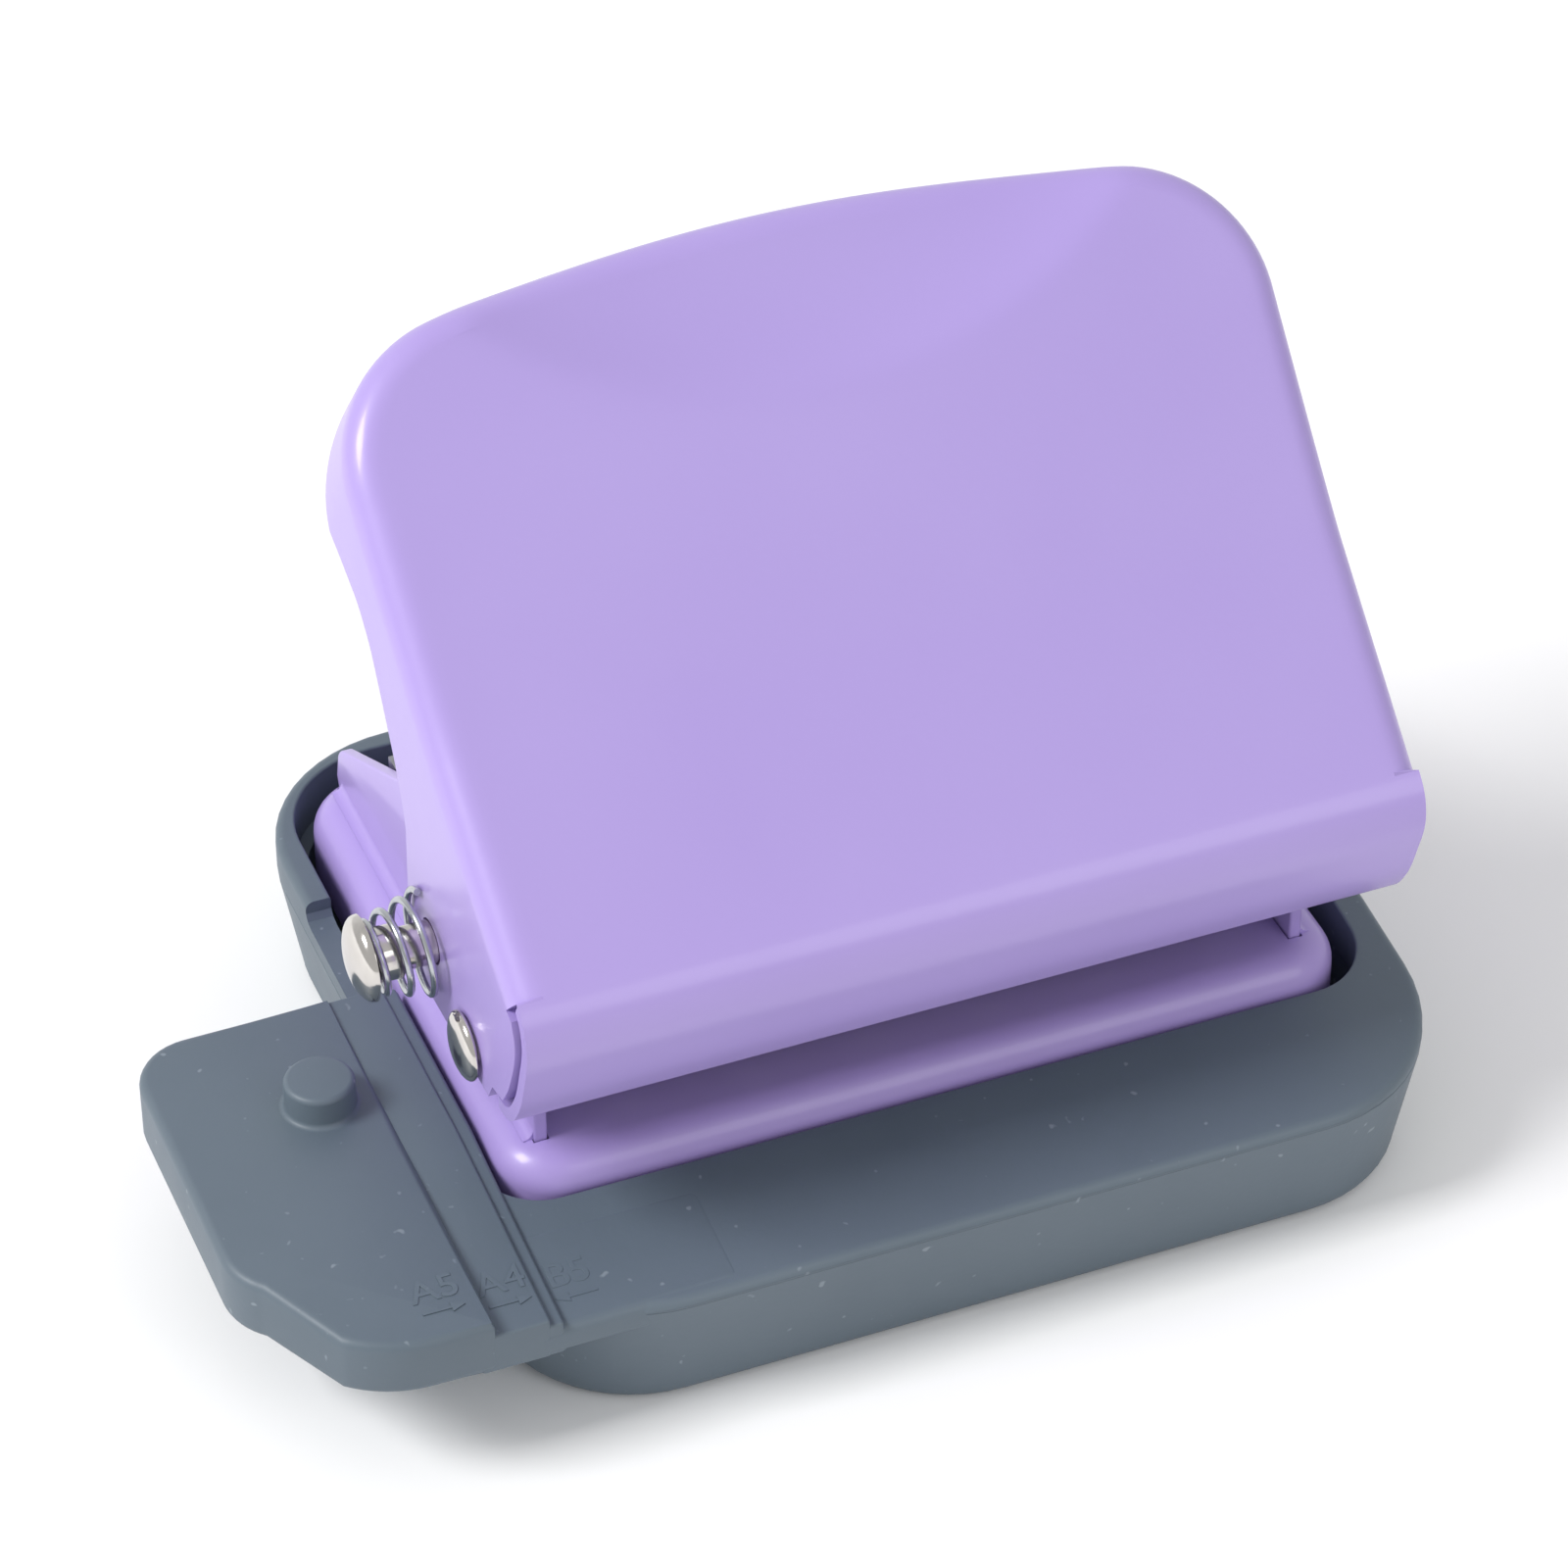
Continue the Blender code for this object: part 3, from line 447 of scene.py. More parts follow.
def new_piece(name, bm, finish, outward=True):
    """Turn a mesh in millimetres into a named object in metres."""
    if outward:
        bmesh.ops.recalc_face_normals(bm, faces=bm.faces)
    bmesh.ops.scale(bm, vec=(MM, MM, MM), verts=bm.verts)
    mesh = bpy.data.meshes.new(name)
    bm.to_mesh(mesh)
    bm.free()
    item = bpy.data.objects.new(name, mesh)
    bpy.context.scene.collection.objects.link(item)
    if finish:
        mesh.materials.append(finish)
    return item


def cut(item, tools):
    """Cut tool meshes out of an object and keep the result as plain mesh."""
    extras = []
    for bm in tools:
        tool = new_piece("cutting_tool", bm, None)
        boolean = item.modifiers.new("cut", "BOOLEAN")
        boolean.operation = "DIFFERENCE"
        boolean.solver = "EXACT"
        boolean.object = tool
        extras.append(tool)
    settle(item)
    for tool in extras:
        bpy.data.objects.remove(tool, do_unlink=True)


def settle(item):
    """Replace an object's mesh by what its modifiers make of it."""
    bpy.context.view_layer.update()
    seen = item.evaluated_get(bpy.context.evaluated_depsgraph_get())
    mesh = bpy.data.meshes.new_from_object(seen)
    item.modifiers.clear()
    item.data = mesh


def dress(item, body, nodes, angle=32.0):
    """Shade a piece smooth, hang it on its body and let it stand for its CAD nodes."""
    item.data.shade_smooth()
    item.data.set_sharp_from_angle(angle=math.radians(angle))
    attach(item, body)
    if nodes:
        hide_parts(*nodes)


def through(axis, centre, radius, low, high):
    """A round cutting tool."""
    return turned([(0, low), (radius, low), (radius, high), (0, high)], axis, centre, 48)


def look_up(table, value):
    """Straight-line reading of a two-column table."""
    for (low, first), (high, second) in zip(table, table[1:]):
        if value <= high:
            return first + (second - first) * (value - low) / (high - low)
    return table[-1][1]


def flowing(points, steps=4):
    """A smooth curve through points, which it passes through in order."""
    ends = [2 * Vector(points[0]) - Vector(points[1])] + [Vector(p) for p in points]
    ends.append(2 * Vector(points[-1]) - Vector(points[-2]))
    curve = []
    for a, b, c, d in zip(ends, ends[1:], ends[2:], ends[3:]):
        for step in range(steps):
            t = step / steps
            curve.append(tuple(0.5 * (2 * b + (c - a) * t + (2 * a - 5 * b + 4 * c - d) * t ** 2
                                      + (3 * b - a - 3 * c + d) * t ** 3)))
    return curve + [tuple(ends[-2])]


# ---------------------------------------------------------------- chip tray

def sloped(level, y):
    """Height of a paper level: it falls towards the front and is flat behind the slope."""
    front_z, rear_z = level
    slope = (rear_z - front_z) / (SLOPE_REAR_Y - SLOPE_FRONT_Y)
    return rear_z + slope * min(0.0, y - SLOPE_REAR_Y)


def rim_loop(limits, inset, radius, drop, rear_radius=None):
    """A loop that follows the height of the sloping deck."""
    return [(x, y, sloped(DECK_LEVEL, y) - drop)
            for x, y in rounded_frame(limits, inset, radius, rear_radius=rear_radius)]


def tub_level(inset, z):
    """A level loop of the tub's outside or inside."""
    limits = (TRAY_LEFT_X, TRAY_RIGHT_X, TRAY_FRONT_Y, TRAY_REAR_Y)
    return [(x, y, z) for x, y in rounded_frame(limits, inset, TRAY_CORNER_R)]


def tub_mesh(edge):
    """The drafted tub: foot radius, parting line, rounded rim, deck, opening and chip cavity."""
    limits = (TRAY_LEFT_X, TRAY_RIGHT_X, TRAY_FRONT_Y, TRAY_REAR_Y)
    loops = []
    for x, z in arc(0.0, TUB_FOOT_R, TUB_FOOT_R, -90, 0, 8):
        loops.append(tub_level(TUB_DRAFT + TUB_FOOT_R - x, z))
    for z in (4.0, 7.0, PARTING_Z - 0.12):
        loops.append(tub_level(TUB_DRAFT * (PARTING_Z - z) / (PARTING_Z - TUB_FOOT_R), z))
    loops += [tub_level(0.1, PARTING_Z), tub_level(0.0, PARTING_Z + 0.1)]
    for x, z in arc(0.0, 0.0, edge, 0, 90, 6):
        loops.append(rim_loop(limits, edge - x, TRAY_CORNER_R, edge - z))
    outer = loops[-1]
    mouth = rim_loop(OPENING, -STEP_EDGE, OPENING_R, 0.0, OPENING_REAR_R)
    for share in (0.1, 0.3, 0.5, 0.7, 0.9):
        ring = []
        for (x, y, _), (u, v, _) in zip(outer, mouth):
            px, py = x + (u - x) * share, y + (v - y) * share
            ring.append((px, py, sloped(DECK_LEVEL, py)))
        loops.append(ring)
    for x, z in arc(0.0, 0.0, STEP_EDGE, 90, 0, 4):
        loops.append(rim_loop(OPENING, x - STEP_EDGE, OPENING_R, STEP_EDGE - z, OPENING_REAR_R))
    shelf = rounded_frame(OPENING, 0.0, OPENING_R, rear_radius=OPENING_REAR_R)
    loops.append([(x, y, SHELF_Z) for x, y in shelf])
    loops += [tub_level(2.2, SHELF_Z - 0.1), tub_level(3.2, 3.2), tub_level(4.2, FLOOR_Z)]
    return loft(loops)


def slab_outline(inset, left, right, rear_r, back, step_r=0.25):
    """Outline of one level of the wing; the outermost level has the two-stage front corner."""
    rear, front = WING_REAR_Y - back, WING_FRONT_Y + back
    points = arc(right - step_r, rear - step_r, max(step_r - inset, 0.02), 0, 90, 3)
    points += arc(left + rear_r, rear - rear_r, max(rear_r - inset, 0.02), 90, 180, 10)
    if rear_r > 1:
        points.append((left + inset, SLOPE_REAR_Y))
        points += arc(left + 5.5, -12.0, 5.5 - inset, 180, 228, 8)
        points += arc(-43.0, front + 9.0, 9.0 - inset, 228, 270, 10)
    else:
        points.append((left + inset, SLOPE_REAR_Y))
        points += arc(left + rear_r, front + rear_r, max(rear_r - inset, 0.02), 180, 270, 3)
    points += arc(right - step_r, front + step_r, max(step_r - inset, 0.02), 270, 360, 3)
    points.append((right - inset, SLOPE_REAR_Y))
    return points


def slab_mesh(level, left, right, rear_r, edge, back=0.0):
    """One level of the wing: rounded edges, a sloping top, and sides set back inside its neighbour."""
    bm = bmesh.new()
    loops = []
    for x, z in arc(0.0, 0.0, edge, -90, 0, 5):
        loops.append([(px, py, WING_UNDER_Z + back + edge + z)
                      for px, py in slab_outline(edge - x, left, right, rear_r, back)])
    for x, z in arc(0.0, 0.0, edge, 0, 90, 5):
        loops.append([(px, py, sloped(level, py) - edge + z)
                      for px, py in slab_outline(edge - x, left, right, rear_r, back)])
    rings = skin(bm, loops)
    bm.faces.new(rings[0][::-1])
    # the top is two flat faces that meet where the slope begins
    last = rings[-1]
    rear = [vert for vert in last if vert.co.y > SLOPE_REAR_Y - 1e-4]
    front = [vert for vert in last if vert.co.y < SLOPE_REAR_Y + 1e-4]
    bm.faces.new([last[-1]] + rear[:-1] if rear[-1] is last[-1] else rear)
    bm.faces.new(front)
    return bm


def nose_mesh(edge):
    """The strip that carries the wing's front edge across the tub's round corner."""
    limits = (-36.0, -20.0, WING_FRONT_Y + 0.02, -16.0)
    loops = []
    for x, z in arc(0.0, 0.0, edge, -90, 0, 5):
        loops.append([(px, py, WING_UNDER_Z + 0.02 + edge + z)
                      for px, py in rounded_frame(limits, edge - x, 1.0, 4, 4, 4)])
    for x, z in arc(0.0, 0.0, edge, 0, 90, 5):
        loops.append([(px, py, sloped(DECK_LEVEL, py) + 0.03 - edge + z)
                      for px, py in rounded_frame(limits, edge - x, 1.0, 4, 4, 4)])
    return loft(loops)


def peg_mesh():
    """Paper peg with a rounded top edge and a small fillet at its foot."""
    profile = [(0, 12.0), (3.0, 12.0), (3.0, 14.0)] + arc(3.0, 14.4, 0.4, 270, 180, 4)
    profile += arc(2.15, PEG_TOP_Z - 0.45, 0.45, 0, 90, 6) + [(0, PEG_TOP_Z)]
    return turned(profile, "Z", (PEG_X, 0.0), 64)


class DESKPUNCH_OT_tray(bpy.types.Operator):
    """Build the moulded chip tray with its paper wing"""
    bl_idname = "desk_punch.tray"
    bl_label = "Chip Tray"

    def execute(self, context):
        edge = sizes().tray_edge / MM
        tub = new_piece("tub", tub_mesh(edge), None)
        above = DIP_Z + 7.5
        dip = [(DIP_FRONT_Y, DIP_Z), (DIP_REAR_Y - 1.2, DIP_Z), (DIP_REAR_Y - 0.4, DIP_Z + 0.2),
               (DIP_REAR_Y, DIP_Z + 0.7), (DIP_REAR_Y + 0.2, above), (DIP_FRONT_Y, above)]
        cut(tub, [prism(dip, "X", TRAY_LEFT_X - 3.5, OPENING[0] + 0.55)])
        tub.data.transform(Matrix.Scale(1 / MM, 4))
        bm = bmesh.new()
        bm.from_mesh(tub.data)
        bpy.data.objects.remove(tub, do_unlink=True)
        add_mesh(bm, slab_mesh(A5_LEVEL, WING_LEFT_X, A5_LINE_X, 4.5, edge))
        # each lower level starts inside its neighbour and is set back a hair, so no faces coincide
        add_mesh(bm, slab_mesh(A4_LEVEL, A5_LINE_X - 1.1, A4_LINE_X, 0.25, STEP_EDGE, SET_BACK))
        add_mesh(bm, slab_mesh(STRIP_LEVEL, A4_LINE_X - 1.1, B5_LINE_X, 0.25, STEP_EDGE, 2 * SET_BACK))
        rim_level = tuple(z + SET_BACK / 2 for z in DECK_LEVEL)
        add_mesh(bm, slab_mesh(rim_level, B5_LINE_X - 1.4, -33.35, 0.25, STEP_EDGE, 3 * SET_BACK))
        add_mesh(bm, nose_mesh(edge))
        add_mesh(bm, peg_mesh())
        for x in (-32.0, 32.0):
            for y in (PAN[2] + 12.0, PAN[3] - 12.0):
                rib = rounded_frame((x - 1.6, x + 1.6, y - 1.2, y + 1.2), 0.0, 0.5, 4, 1, 1)
                add_mesh(bm, prism(rib, "Z", FLOOR_Z - 0.4, PAN_SKIRT_Z - 0.3))
        tray = new_piece("moulded_tray", bm, moulded_abs(), outward=False)
        dress(tray, "tray", ["chip_tray"], 34.0)
        return {"FINISHED"}


class DESKPUNCH_OT_marks(bpy.types.Operator):
    """Raise the paper-size marks and their arrows on the wing"""
    bl_idname = "desk_punch.marks"
    bl_label = "Paper Marks"

    def execute(self, context):
        relief = sizes().mark_relief
        for word, x, level, way in (("A5", -41.4, A5_LEVEL, 1), ("A4", -36.55, A4_LEVEL, 1),
                                    ("B5", -31.6, DECK_LEVEL, -1)):
            slope = math.atan2(level[1] - level[0], SLOPE_REAR_Y - SLOPE_FRONT_Y)
            text = bpy.data.curves.new(f"mark_{word}", "FONT")
            text.body = word
            text.size = 3.1 * MM
            text.extrude = relief / 2
            text.align_x = "CENTER"
            text.bevel_depth = 0.02 * MM
            label = bpy.data.objects.new(f"paper_mark_{word}", text)
            context.scene.collection.objects.link(label)
            y = -21.4
            label.location = Vector((x, y, sloped(level, y) + 0.01)) * MM
            label.rotation_euler = (slope, 0.0, 0.0)
            label = settle_text(label)
            label.data.materials.append(moulded_abs())
            dress(label, "tray", [])
            y -= 1.1
            shaft = [(-1.5, -0.1), (0.6, -0.1), (0.6, -0.42), (1.6, 0.0), (0.6, 0.42), (0.6, 0.1),
                     (-1.5, 0.1)]
            outline = [(x + way * u, y + v) for u, v in shaft]
            height = relief / MM
            bm = loft([[(u, v, sloped(level, v) - 0.1) for u, v in outline],
                       [(u, v, sloped(level, v) + height) for u, v in outline]])
            arrow = new_piece(f"paper_arrow_{word}", bm, moulded_abs())
            dress(arrow, "tray", [])
        return {"FINISHED"}


def settle_text(label):
    """Turn a text object into a mesh object that stands where the text stood."""
    bpy.context.view_layer.update()
    seen = label.evaluated_get(bpy.context.evaluated_depsgraph_get())
    mesh = bpy.data.meshes.new_from_object(seen)
    mesh.transform(label.matrix_world)
    name = label.name
    bpy.data.objects.remove(label, do_unlink=True)
    item = bpy.data.objects.new(name, mesh)
    bpy.context.scene.collection.objects.link(item)
    return item


# ---------------------------------------------------------------- pan and frame

def pan_loops(bend, sheet, steps=9):
    """Loops up the skirt and over the bend, for the outside (sheet 0) or the inside."""
    radius = bend - sheet
    loops = [[(x, y, PAN_SKIRT_Z) for x, y in rounded_frame(PAN, sheet, PAN_CORNER_R, 12, 10, 8)]]
    for u, v in arc(0.0, 0.0, radius, 0, 90, steps):
        outline = rounded_frame(PAN, bend - u, PAN_CORNER_R, 12, 10, 8)
        loops.append([(x, y, PAN_TOP_Z - bend + v) for x, y in outline])
    return loops


class DESKPUNCH_OT_pan(bpy.types.Operator):
    """Build the pressed pan with its die holes and ear slots"""
    bl_idname = "desk_punch.pan"
    bl_label = "Pan"

    def execute(self, context):
        bend = sizes().pan_bend / MM
        inner = pan_loops(bend, PAN_SHEET)
        pan = new_piece("pressed_pan", loft(inner[::-1] + pan_loops(bend, 0.0)), stoved_enamel())
        tools = [through("Z", (x, 0.0), DIE_HOLE_R, PAN_SKIRT_Z, PAN_TOP_Z + 1) for x in HOLE_XS]
        tools += [through("Z", (x, RIVET_Y), RIVET_HOLE_R, PAN_SKIRT_Z, PAN_TOP_Z + 1)
                  for x in (-RIVET_X, RIVET_X)]
        for side in (-1, 1):
            near, far = side * (EAR_OUTER_X - EAR_SHEET - 0.1), side * (EAR_OUTER_X + 0.1)
            front, rear = FOOT_FRONT_Y - 0.1, FOOT_REAR_Y + 0.4
            tools.append(prism([(near, front), (far, front), (far, rear), (near, rear)], "Z",
                               BASE_LOW_Z - 0.2, PAN_TOP_Z + 1))
        cut(pan, tools)
        dress(pan, "chassis", ["chassis_pan"])
        return {"FINISHED"}


def ear_outline():
    """One ear in Y and Z: hinge boss at the front, sloping top edge to a low rear corner."""
    outline = [(FOOT_FRONT_Y, BASE_LOW_Z), (FOOT_FRONT_Y, 19.4)]
    outline += flowing([(HINGE_Y - 4.6, HINGE_Z)] + arc(HINGE_Y, HINGE_Z, 4.6, 160, 60, 10)
                       + [(-4.4, 29.2), (0.8, 29.6), (4.6, 30.2)], 2)
    outline += arc(8.0, 28.9, 2.6, 100, 60, 6) + arc(31.0, 16.5, 2.4, 60, 8, 10)
    return outline + [(EAR_REAR_Y, 15.2), (FOOT_REAR_Y, 13.6), (FOOT_REAR_Y, BASE_LOW_Z)]


def lock_hole_centre():
    """Where the lock pin stands over the ear when the handle is pressed down."""
    y, z = LOCK_Y - HINGE_Y, LOCK_Z - HINGE_Z
    turn = -HANDLE_SWING
    return (HINGE_Y + y * math.cos(turn) - z * math.sin(turn),
            HINGE_Z + y * math.sin(turn) + z * math.cos(turn))


class DESKPUNCH_OT_frame(bpy.types.Operator):
    """Build the folded frame: two ears on the base under the pan"""
    bl_idname = "desk_punch.frame"
    bl_label = "Frame"

    def execute(self, context):
        edge = sizes().ear_edge / MM
        whole = bmesh.new()
        ears = []
        for side in (-1, 1):
            limits = sorted((side * (EAR_OUTER_X - EAR_SHEET), side * EAR_OUTER_X))
            word = "left" if side < 0 else "right"
            ear = new_piece(f"ear_{word}", softened(prism(ear_outline(), "X", *limits), edge), None)
            tools = [through("X", (HINGE_Y, HINGE_Z), HINGE_HOLE_R, side * 28.0, side * 31.5)]
            if side < 0:
                tools.append(through("X", lock_hole_centre(), LOCK_HOLE_R, -31.5, -28.0))
                notch = arc(LOCK_Y, LOCK_Z, LOCK_HOLE_R, 180, 360, 16)
                notch += [(LOCK_Y + LOCK_HOLE_R, LOCK_Z + 4), (LOCK_Y - LOCK_HOLE_R, LOCK_Z + 4)]
                tools.append(prism(notch, "X", -31.5, -28.0))
            cut(ear, tools)
            ears.append(ear)
            # enamel gathers in a small fillet where the ear leaves the pan
            curve = arc(side * (EAR_OUTER_X + FILLET_R), PAN_TOP_Z + FILLET_R, FILLET_R, 270,
                        180 if side > 0 else 360, 5)
            inside, under = side * (EAR_OUTER_X - 0.2), PAN_TOP_Z - 0.05
            section = [(inside, under), (curve[0][0], under)] + curve + [(inside, PAN_TOP_Z + FILLET_R)]
            fillet = loft([[(x, FOOT_FRONT_Y + 0.3, z) for x, z in section],
                           [(x, FOOT_REAR_Y - 0.6, z) for x, z in section]])
            add_mesh(whole, fillet)
        base = [(FOOT_FRONT_Y, BASE_LOW_Z), (BASE_REAR_Y, BASE_LOW_Z), (BASE_REAR_Y, BASE_TOP_Z),
                (FOOT_FRONT_Y, BASE_TOP_Z)]
        half = EAR_OUTER_X - EAR_SHEET / 2
        plate = new_piece("base_plate", prism(base, "X", -half, half), None)
        tools = [through("Z", (x, 0.0), DIE_HOLE_R, BASE_LOW_Z - 1, BASE_TOP_Z + 1) for x in HOLE_XS]
        tools += [through("Z", (x, RIVET_Y), RIVET_HOLE_R, BASE_LOW_Z - 1, BASE_TOP_Z + 1)
                  for x in (-RIVET_X, RIVET_X)]
        cut(plate, tools)
        for item in ears + [plate]:
            item.data.transform(Matrix.Scale(1 / MM, 4))
            whole.from_mesh(item.data)
            bpy.data.objects.remove(item, do_unlink=True)
        frame = new_piece("folded_frame", whole, stoved_enamel(), outward=False)
        dress(frame, "chassis", ["punch_frame"])
        return {"FINISHED"}


# ---------------------------------------------------------------- handle

def face_point(x, s, rise):
    """A point from its place along the tilted face and its height off it."""
    return (x, FACE_START_Y + s * math.cos(FACE_TILT) - rise * math.sin(FACE_TILT),
            FACE_START_Z + s * math.sin(FACE_TILT) + rise * math.cos(FACE_TILT))


def upturn(s):
    """Height of the gently upturned face off its flat lower part."""
    past = max(0.0, s - 17.0)
    return 0.1 * past ** 2 / (past + 4.0)


def face_rise(x, s):
    """Height of the pressed face: the upturn, less the thumb recess with its crisp arc."""
    inside = RECESS_R - math.hypot(x - RECESS_X, s - RECESS_S)
    soft = 0.45
    inside = soft * math.log1p(math.exp(min(inside / soft, 40.0)))
    share = min(1.0, inside / 12.0)
    return upturn(s) - sizes().recess_depth / MM * (1 - (1 - share) ** 2.2)


def side_outline(inset):
    """Right edge of the face as (x, s): its side, then its round top corner."""
    points = []
    for step in range(SIDE_STEPS):
        s = CORNER_S * step / SIDE_STEPS
        points.append((FLAP_X + FLAP_FLARE * s / CORNER_S - inset, s))
    return points + arc(CORNER_X, CORNER_S, CORNER_R - inset, 0, ARCH_MEET, CORNER_STEPS)


def face_edge(inset):
    """The whole edge of the face as (x, s): up the left side, over the arch, down the right."""
    right = side_outline(inset)
    left = [(-x, s) for x, s in right]
    arch = arc(0.0, FACE_LENGTH - ARCH_R, ARCH_R - inset, 180 - ARCH_MEET, ARCH_MEET, FACE_COLUMNS)
    return left + arch[1:-1] + right[::-1]


# how far each flap reaches below the face plane, at places along its side
FLAP_EDGE = ((0.0, 17.1), (5.6, 21.6), (7.9, 22.6), (10.1, 21.5), (13.1, 17.8), (16.2, 13.1), (20.0, 10.6),
             (25.0, 8.3), (28.0, 7.0), (31.0, 6.6), (34.0, 7.2), (CORNER_S, 7.9))
# how far the rolled edge hangs below the face round the corner and the top
ROLL_EDGE = ((0.0, 9.5), (0.09, 8.8), (0.3, 7.0), (0.55, 5.4), (1.0, 4.8))
# front band from the face down round the curl, as distances from the hinge axis
BAND_PROFILE = ((-10.2, 10.95), (-10.8, 10.2), (-11.2, 9.3), (-11.4, 8.0), (-11.2, 6.6), (-10.7, 5.0),
                (-9.9, 2.6), (-9.1, 1.0), (-8.0, -0.6), (-6.6, -1.6), (-5.0, -1.9))
# front edge of each flap, just inside the curled band
FLAP_FRONT = ((-9.2, 9.5), (-9.8, 7.8), (-9.4, 5.6), (-8.3, 2.9), (-7.5, 1.5), (-6.7, 0.3),
              (-4.6, -0.2), (-3.6, -1.9), (-1.0, -1.9))


def face_grid(bend):
    """Rows of face points; they start straight and take on the arch's curve towards the top."""
    edge = side_outline(bend)
    top_x, top_s = edge[-1]
    rows = []
    for i, (edge_x, edge_s) in enumerate(edge):
        mix = (i / (len(edge) - 1)) ** 2
        row = []
        for column in range(FACE_COLUMNS + 1):
            across = 2 * column / FACE_COLUMNS - 1
            angle = math.radians(90 - (90 - ARCH_MEET) * across)
            arch_x = (ARCH_R - bend) * math.cos(angle)
            arch_s = FACE_LENGTH - ARCH_R + (ARCH_R - bend) * math.sin(angle)
            x = edge_x * arch_x / top_x
            s = edge_s + mix * (arch_s - top_s)
            row.append(face_point(x, s, face_rise(x, s)))
        rows.append(row)
    return rows


def roll_share(index, count):
    """How much of the way round the corner and over the arch an edge point lies, or None on a side."""
    near = min(index, count - 1 - index) - SIDE_STEPS
    if near < 0:
        return None
    if near <= CORNER_STEPS:
        return 0.55 * near / CORNER_STEPS
    return 0.55 + 0.45 * 2 * (near - CORNER_STEPS) / FACE_COLUMNS


def flap_depth(s):
    """Smoothed depth of the flap's free edge."""
    return sum(look_up(FLAP_EDGE, min(max(s + step * 0.35, 0.0), CORNER_S)) for step in range(-2, 3)) / 5


def edge_rings(bend):
    """Loops from the face's edge over its bend and down to the free edge of flaps and rolled top."""
    inner = face_edge(bend)
    rises = [face_rise(x, s) for x, s in inner]
    rings = []
    for step in range(1, BEND_STEPS + 1):
        angle = math.radians(90 * step / BEND_STEPS)
        outline = face_edge(bend * (1 - math.sin(angle)))
        drop = bend * (1 - math.cos(angle))
        rings.append([face_point(x, s, rise - drop) for (x, s), rise in zip(outline, rises)])
    lowest = []
    for index, (x, s) in enumerate(face_edge(0.0)):
        share = roll_share(index, len(inner))
        bottom = -flap_depth(s) if share is None else upturn(s) - look_up(ROLL_EDGE, share)
        lowest.append(face_point(x, s, bottom))
    above = rings[-1]
    for row in range(1, FLAP_ROWS + 1):
        share = row / FLAP_ROWS
        rings.append([tuple(Vector(a).lerp(Vector(b), share)) for a, b in zip(above, lowest)])
    return rings


def add_band(bm, above, rings):
    """The curled front band, which runs the full width below the face and closes onto its bends."""
    start = (above[0].co.y - HINGE_Y, above[0].co.z - HINGE_Z)
    profile = flowing([start] + list(BAND_PROFILE), 3)[1:]
    xs = [vert.co.x for vert in above]
    left_bend = [ring[0] for ring in rings[:4]]
    right_bend = [ring[-1] for ring in rings[:4]]
    ends_above = None
    for dy, dz in profile:
        y, z = HINGE_Y + dy, HINGE_Z + dz
        middle = [bm.verts.new((x, y, z)) for x in xs]
        ends = [bm.verts.new((-BAND_END_X, y, z)), bm.verts.new((BAND_END_X, y, z))]
        for i in range(len(xs) - 1):
            bm.faces.new((middle[i], middle[i + 1], above[i + 1], above[i]))
        if ends_above:
            bm.faces.new((ends[0], middle[0], above[0], ends_above[0]))
            bm.faces.new((middle[-1], ends[1], ends_above[1], above[-1]))
        else:
            bm.faces.new([middle[0], above[0]] + left_bend + [ends[0]])
            bm.faces.new(([middle[-1], above[-1]] + right_bend + [ends[1]])[::-1])
        above, ends_above = middle, ends


def add_flap_front(bm, side, root, lowest):
    """The front of one flap, round the hinge, fanned from the start of its bend."""
    outline = flowing(FLAP_FRONT[:6], 3) + list(FLAP_FRONT[6:])
    front = [bm.verts.new((side * FLAP_X, HINGE_Y + dy, HINGE_Z + dz)) for dy, dz in outline]
    for one, two in zip(front, front[1:]):
        bm.faces.new((root, two, one) if side < 0 else (root, one, two))
    for one, two in zip(lowest, lowest[1:] + [root]):
        bm.faces.new((front[-1], two, one) if side < 0 else (front[-1], one, two))


class DESKPUNCH_OT_handle(bpy.types.Operator):
    """Build the pressed handle: face, rolled edge, flaps and curled front band"""
    bl_idname = "desk_punch.handle"
    bl_label = "Handle"

    def execute(self, context):
        bend = sizes().handle_bend / MM
        bm = bmesh.new()
        rows = skin(bm, face_grid(bend), wrap=False)
        for face in bm.faces:
            face.smooth = True
        edge = [row[0] for row in rows] + rows[-1][1:-1] + [row[-1] for row in rows[::-1]]
        rings = [[bm.verts.new(point) for point in ring] for ring in edge_rings(bend)]
        for inner, outer in zip([edge] + rings, rings):
            for i in range(len(edge) - 1):
                bm.faces.new((inner[i], inner[i + 1], outer[i + 1], outer[i]))
        add_band(bm, rows[0], rings)
        root_ring = BEND_STEPS - 1
        add_flap_front(bm, -1, rings[root_ring][0], [ring[0] for ring in rings[:root_ring:-1]])
        add_flap_front(bm, 1, rings[root_ring][-1], [ring[-1] for ring in rings[:root_ring:-1]])
        handle = new_piece("pressed_handle", bm, stoved_enamel(), outward=False)
        wall = handle.modifiers.new("sheet", "SOLIDIFY")
        wall.thickness = sizes().handle_sheet
        wall.offset = -1.0
        wall.use_even_offset = True
        settle(handle)
        near, far = FLAP_X - 2.2, FLAP_X + 1.8
        tools = [through("X", (HINGE_Y, HINGE_Z), HINGE_HOLE_R, side * near, side * far)
                 for side in (-1, 1)]
        tools.append(through("X", (LOCK_Y, LOCK_Z), FLAP_LOCK_HOLE_R, -far, -near))
        cut(handle, tools)
        dress(handle, "lever", ["handle"], 36.0)
        return {"FINISHED"}


# ---------------------------------------------------------------- rivets, lock and springs

